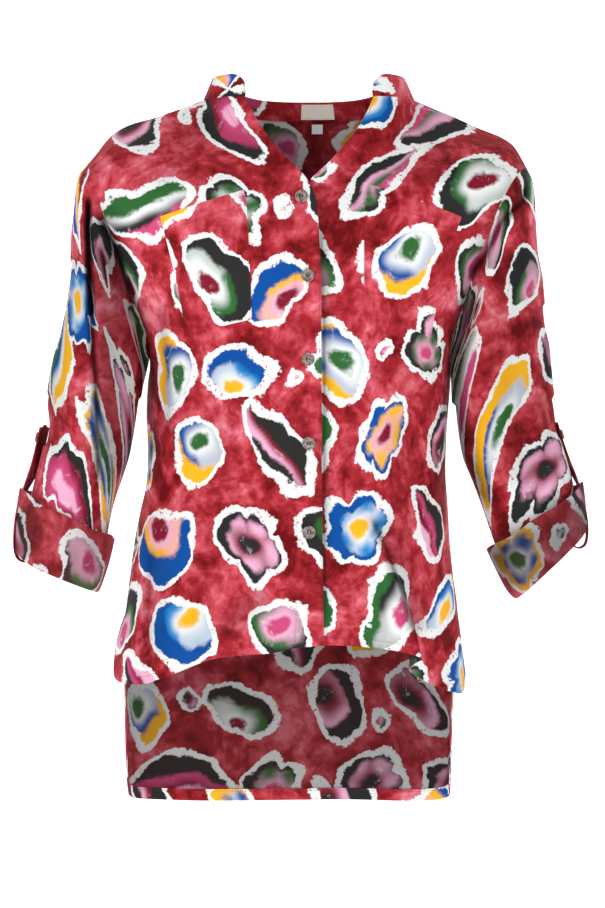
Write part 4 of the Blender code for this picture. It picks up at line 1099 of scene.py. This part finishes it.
def make_cuff(side):
    """The rolled end of a sleeve, waving and sagging a little."""
    lines = []
    for place, out in CUFF_LINE:
        near = sleeve_grid(side, [place - 0.05, place, place + 0.05])
        lines.append(near[1] + normals(near, tube=True)[1] * out)
    cuff = smooth_up(np.array(lines), FINE["cuff"], tube=True)
    cuff_n = unit(np.cross(round_steps(cuff), np.gradient(cuff, axis=0)))
    turn = np.linspace(0, 2 * np.pi, cuff.shape[1])[None, :]
    grow = ease(np.linspace(-0.6, 1, len(cuff)))[:, None]
    cuff = cuff + cuff_n * (waves(turn, ((1.6, 3, side),) + CUFF_SWAY) * grow)[..., None]
    cuff[..., 2] += waves(turn, CUFF_RISE) * grow
    rows = np.linspace(0, 1, len(cuff))[:, None]
    inner_end, outer_end, low = (1 + np.cos(turn)) / 2, hill((turn - np.pi) / 0.6), hill((rows - 0.45) / 0.28)
    down, aside, lift, outer_shift = CUFF_LIE[side]
    cuff[..., 2] -= down * inner_end * (0.4 + 0.6 * rows) - lift * outer_end * low
    cuff[..., 0] += aside * inner_end + outer_shift * outer_end
    sheet_mesh("cloth_cuff_" + SIDE_NAME[side], cuff + cuff_n * CUFF_HALF_WALL, cuff - cuff_n * CUFF_HALF_WALL,
               printed(arc(cuff, 1), arc(cuff, 0), SEEDS["cuff"] + side), mats=[WRONG_SIDE_SHADED_MAT, WRONG_SIDE_SHADED_MAT],
               node="cuff_" + SIDE_NAME[side], slot_name="cloth_wrong_side")


def make_tab(side):
    """The tab that holds a rolled end: down the sleeve, round the roll and up inside it."""
    path = spline(np.array(TAB_LINE[side], float), TAB_FINE)
    run = np.gradient(path, axis=0)
    out = unit(np.stack([run[:, 1], -run[:, 0]], -1))
    width = np.linspace(-0.5, 0.5, TAB_ROWS)[:, None]
    layers = []
    for sign in (1, -1):
        line = path + sign * out * TAB_HALF_WALL
        twist = TAB_TWIST * ease((line[:, 1] - TAB_TWIST_END[side]) / TAB_TWIST_FADE)
        grid = np.zeros((TAB_ROWS, len(line), 3))
        grid[..., 0] = line[:, 0] - side * twist * (width + 0.5) * TAB_WIDTH
        grid[..., 1] = TAB_Y + width * TAB_WIDTH
        grid[..., 2] = line[:, 1]
        grid[:, :1, 2] -= TAB_POINT * np.abs(width)
        layers.append(grid)
    # The tab's inner face takes the inner material with its painted shade
    mats = [CLOTH_MAT, INNER_SHADED_MAT] if side == RIGHT else [INNER_SHADED_MAT, CLOTH_MAT]
    sheet_mesh("cloth_tab_" + SIDE_NAME[side], *layers, unprinted(arc(layers[0], 0), arc(layers[0], 1)),
               mats=mats, node="tab_" + SIDE_NAME[side])
    tab_n = np.broadcast_to(np.stack([out[:, 0], 0 * out[:, 0], out[:, 1]], -1), layers[0].shape)
    outside = layers[0] if out[:, 0].mean() * side > 0 else layers[1]
    sew(outside, tab_n * np.sign(out[0, 0] * side), ((0, False, EDGE_STITCH), (0, True, EDGE_STITCH)))


for side in (RIGHT, LEFT):
    make_pocket(side, *make_front(side))
    make_sleeve(side)
    make_cuff(side)
    make_tab(side)

back_n = normals(fine_back)
sheet_mesh("cloth_back", fine_back, fine_back - back_n * hem_walls(fine_back, BACK_HEM_TURN),
           printed(from_middle(fine_back), fine_back[..., 2], SEEDS["back"]), node="back")
sew(fine_back, back_n, [(0, False, BACK_HEM_STITCH)])
vent = np.s_[:BACK_TAIL_CELLS * FINE["back"]]
sew(fine_back[vent], back_n[vent], [(1, False, HEM_STITCH), (1, True, HEM_STITCH)])
hem_inside = fine_back - back_n * (HEM_CLOTH + BAND_LAY)
turned_band("hem", hem_inside, -back_n, 0, False, BACK_HEM_STITCH, 0)
vent_inside = (fine_back - back_n * (CLOTH + BAND_LAY))[vent]
turned_band("vent_right", vent_inside, -back_n[vent], 1, False, BACK_VENT_TURN, 1)
turned_band("vent_left", vent_inside, -back_n[vent], 1, True, BACK_VENT_TURN, 2)
sheet_mesh("cloth_collar", collar, inner_collar, printed(arc(collar, 1), arc(collar, 0), SEEDS["collar"]),
           mats=[CLOTH_MAT, NECK_SHADED_MAT], node="collar")
sew(collar, collar_own, all_edges(EDGE_STITCH))
sew(inner_collar, -collar_own, all_edges(EDGE_STITCH))


def circle(centre, right, up, radius, turns):
    """Points of a circle, one after another."""
    t = 2 * np.pi * np.arange(turns)[:, None] / turns
    return centre + (right * np.cos(t) + up * np.sin(t)) * radius


def raw_mesh(name, bodies):
    """A mesh of closed bodies, each through a row of circles."""
    points, faces, first = [], [], 0
    for rings in bodies:
        turns = len(rings[0])
        end = first + (len(rings) - 1) * turns
        faces += [tuple(range(first, first + turns))[::-1], tuple(range(end, end + turns))]
        for start in range(first, end, turns):
            for k in range(turns):
                a, b = start + k, start + (k + 1) % turns
                faces.append((a, b, b + turns, a + turns))
        points += rings
        first = end + turns
    mesh = bpy.data.meshes.new(name)
    mesh.from_pydata((np.concatenate(points) * MM).tolist(), [], faces)
    work = bmesh.new()
    work.from_mesh(mesh)
    bmesh.ops.recalc_face_normals(work, faces=work.faces)
    work.to_mesh(mesh)
    work.free()
    return mesh


# Button profile: share of the radius, share of the thickness
BUTTON_PROFILE = (
    (0.80, 0.0), (0.94, 0.08), (1.0, 0.35), (1.0, 0.6), (0.97, 0.85), (0.91, 0.98), (0.85, 1.0),
    (0.79, 0.93), (0.72, 0.80), (0.62, 0.74),
)
BUTTON_TURNS, HOLE_TURNS, HOLE_PLACE, HOLE_SIZE, HOLE_REACH = 48, 14, 0.2, 0.11, 2.0
# Bars of thread: rings and points of each ring, share of the radius, rise in the middle, sinking, height
THREAD_RINGS, THREAD_TURNS, THREAD_SIZE, THREAD_RISE, THREAD_SINK, THREAD_SEAT = 7, 8, 0.085, 0.5, 0.1, 0.74


def button(name, centre, facing, radius):
    """A four-hole button with a raised rim, sewn on with two bars of thread."""
    up = unit(Z_AXIS - facing * facing[2])
    right = np.cross(up, facing)
    rings = [
        circle(centre + facing * BUTTON_THICK * rise, right, up, radius * share, BUTTON_TURNS)
        for share, rise in BUTTON_PROFILE
    ]
    holes = []
    for x, y in ((1, 1), (-1, 1), (-1, -1), (1, -1)):
        middle = centre + (right * x + up * y) * radius * HOLE_PLACE
        ends = (middle - facing * HOLE_REACH, middle + facing * (BUTTON_THICK + HOLE_REACH))
        holes.append([circle(end, right, up, radius * HOLE_SIZE, HOLE_TURNS) for end in ends])
    disc = add_to_scene(name + "_disc", raw_mesh(name + "_disc", [rings]))
    cutter = add_to_scene(name + "_cutter", raw_mesh(name + "_cutter", holes))
    cut = disc.modifiers.new("holes", "BOOLEAN")
    cut.operation, cut.solver, cut.object = "DIFFERENCE", "EXACT", cutter
    done = bpy.data.meshes.new_from_object(disc.evaluated_get(bpy.context.evaluated_depsgraph_get()))
    for thing in (disc, cutter):
        bpy.data.objects.remove(thing, do_unlink=True)
    finish_object("shell_" + name, done, [SHELL_MAT], name)

    bars = []
    for x in (-1, 1):
        middle = centre + facing * (BUTTON_THICK * THREAD_SEAT - THREAD_SINK) + right * x * radius * HOLE_PLACE
        bars.append([
            circle(middle + up * radius * HOLE_PLACE * (2 * t - 1) + facing * THREAD_RISE * math.sin(math.pi * t),
                   -right, facing, radius * THREAD_SIZE, THREAD_TURNS)
            for t in np.linspace(0, 1, THREAD_RINGS)
        ])
    finish_object("thread_" + name, raw_mesh("thread_" + name, bars), [THREAD_MAT], None)


# Buttons down the middle of the upper band, each over a stitched buttonhole, and one on each tab
BUTTONHOLE_HALF, BUTTONHOLE_WIDE, BUTTONHOLE_POINTS, BUTTONHOLE_LIFT = 9.0, 1.1, 12, 0.05
BUTTONHOLE_STITCH, TAB_BUTTON_PLACE = (0.8, 0.75, 0.75), 0.75
band_middle = BAND_CELLS // 2
line, line_n = front[RIGHT][:, band_middle], normals(front[RIGHT])[:, band_middle]
fine_line = fine_front[RIGHT][:, band_middle * FINE["front"]]
for number, z in enumerate(BUTTON_Z, 1):
    facing = unit(sample(line_n, line[:, 2], z))
    spot = sample(line, line[:, 2], z) + facing * (BAND_OUT + BUTTON_LAY)
    button("button_%d" % number, spot, facing, BUTTON_RADIUS)
    heights = np.linspace(z - BUTTONHOLE_HALF, z + BUTTONHOLE_HALF, BUTTONHOLE_POINTS)
    hole = sample(fine_line, fine_line[:, 2], heights) + facing * (BAND_OUT + BUTTONHOLE_LIFT)
    for aside in (-BUTTONHOLE_WIDE, BUTTONHOLE_WIDE):
        stitch(hole + X_AXIS * aside, np.broadcast_to(facing, hole.shape), *BUTTONHOLE_STITCH)
for side in (RIGHT, LEFT):
    first, second = np.array(TAB_LINE[side][:2], float)
    x, z = first + (second - first) * TAB_BUTTON_PLACE
    facing = unit(np.array([first[1] - second[1], 0.0, second[0] - first[0]]))
    facing = facing * np.sign(facing[0] * side)
    spot = np.array([x, TAB_Y, z]) + facing * (TAB_HALF_WALL + BUTTON_LAY)
    button("tab_button_" + SIDE_NAME[side], spot, facing, TAB_BUTTON_RADIUS)

# Bare labels inside the back neck
inside = inner_collar - collar_own * LAY
middle_row = inside[LABEL_ROW]
cols = np.interp(np.linspace(*LABEL_X, LABEL_CELLS[1]), middle_row[:, 0], np.arange(len(middle_row)))
places = np.meshgrid(np.linspace(*LABEL_ROWS, LABEL_CELLS[0]), cols, indexing="ij")
face, out = between(inside, *places), -between(collar_own, *places)
sheet_mesh("tape_neck_label", face + out * LABEL_WALL, face, mats=[LABEL_MAT], node="neck_label",
           slot_name="label")
LABEL_INSET, LABEL_STITCH = 1.3, (2.2, 1.4, 0.2)
sew(face + out * LABEL_WALL, out, all_edges(LABEL_INSET), *LABEL_STITCH)
top, under = back[-1, BACK_COLS // 2], back[-2, BACK_COLS // 2]
facing = normals(back)[-1, BACK_COLS // 2]
drops = np.linspace(*TAG_DROP, TAG_CELLS)[:, None, None]
across = np.linspace(*TAG_X, TAG_CELLS)[None, :, None]
tag = top + unit(under - top) * drops + X_AXIS * across - facing * np.interp(drops, TAG_DROP, TAG_LAY)
sheet_mesh("tape_size_label", tag - facing * LABEL_WALL, tag, mats=[WHITE_MAT], node="size_label",
           slot_name="label_white")

stitches = bpy.data.meshes.new("stitching")
stitches.from_pydata((np.concatenate(STITCHES["points"]) * MM).tolist(), [], STITCHES["faces"])
finish_object("stitching", stitches, [THREAD_MAT], None)

# Floor and backdrop in one sweep
FLOOR_Z, BACKDROP_Y, SWEEP, SWEEP_STEPS = -1.05, 6.5, 1.2, 24
STAGE_HALF, STAGE_NEAR, STAGE_TOP = 9.0, -9.0, 7.0
FLOOR_COLOUR, FLOOR_ROUGH, FLOOR_SPECULAR, FLOOR_GLOW = (0.93, 0.93, 0.93, 1.0), 0.9, 0.1, 0.8
WHITE, WORLD_LIGHT = (1.0, 1.0, 1.0, 1.0), 0.26
profile = [(STAGE_NEAR, FLOOR_Z)]
for angle in np.linspace(0, math.pi / 2, SWEEP_STEPS + 1):
    profile.append((BACKDROP_Y - SWEEP + SWEEP * math.sin(angle), FLOOR_Z + SWEEP - SWEEP * math.cos(angle)))
profile.append((BACKDROP_Y, STAGE_TOP))
stage_mesh = bpy.data.meshes.new("floor")
stage_points = [(x, y, z) for y, z in profile for x in (-STAGE_HALF, STAGE_HALF)]
stage_faces = [(2 * k, 2 * k + 1, 2 * k + 3, 2 * k + 2) for k in range(len(profile) - 1)]
stage_mesh.from_pydata(stage_points, [], stage_faces)
stage_mesh.polygons.foreach_set("use_smooth", np.ones(len(stage_mesh.polygons), bool))
floor = add_to_scene("floor", stage_mesh)
floor_nodes = Nodes("floor_white")
floor.data.materials.append(floor_nodes.finish(FLOOR_COLOUR, FLOOR_ROUGH, FLOOR_SPECULAR))
floor_nodes.shader.inputs["Emission Color"].default_value = WHITE
floor_nodes.shader.inputs["Emission Strength"].default_value = FLOOR_GLOW

world = bpy.data.worlds.new("studio")
world.use_nodes = True
world.node_tree.nodes["Background"].inputs["Color"].default_value = WHITE
world.node_tree.nodes["Background"].inputs["Strength"].default_value = WORLD_LIGHT
bpy.context.scene.world = world
bpy.context.scene.view_settings.view_transform = "Standard"
# Lights: place, size, watts
LIGHTS = (
    ((-2.2, -2.4, 1.5), 1.3, 40.0), ((2.6, -2.2, 0.3), 1.6, 15.0), ((0.2, -3.4, 0.1), 0.9, 19.0),
    ((0.0, 1.6, 3.2), 3.0, 44.0),
)
AIM = Vector((0.0, 0.0, -0.4))
for spot, size, power in LIGHTS:
    data = bpy.data.lights.new("softbox", "AREA")
    data.size = size
    data.energy = power
    lamp = add_to_scene("softbox", data)
    lamp.location = spot
    lamp.rotation_euler = (AIM - Vector(spot)).to_track_quat("-Z", "Y").to_euler()

CAMERA_SENSOR, CAMERA_LENS = 36.0, 151.4
camera_data = bpy.data.cameras.new("camera")
camera_data.sensor_width = CAMERA_SENSOR
camera_data.lens = CAMERA_LENS
camera = add_to_scene("camera", camera_data)
camera.location = (CAMERA_X * MM, -CAMERA_FAR * MM, CAMERA_Z * MM)
camera.rotation_euler = (math.pi / 2, 0.0, 0.0)
bpy.context.scene.camera = camera
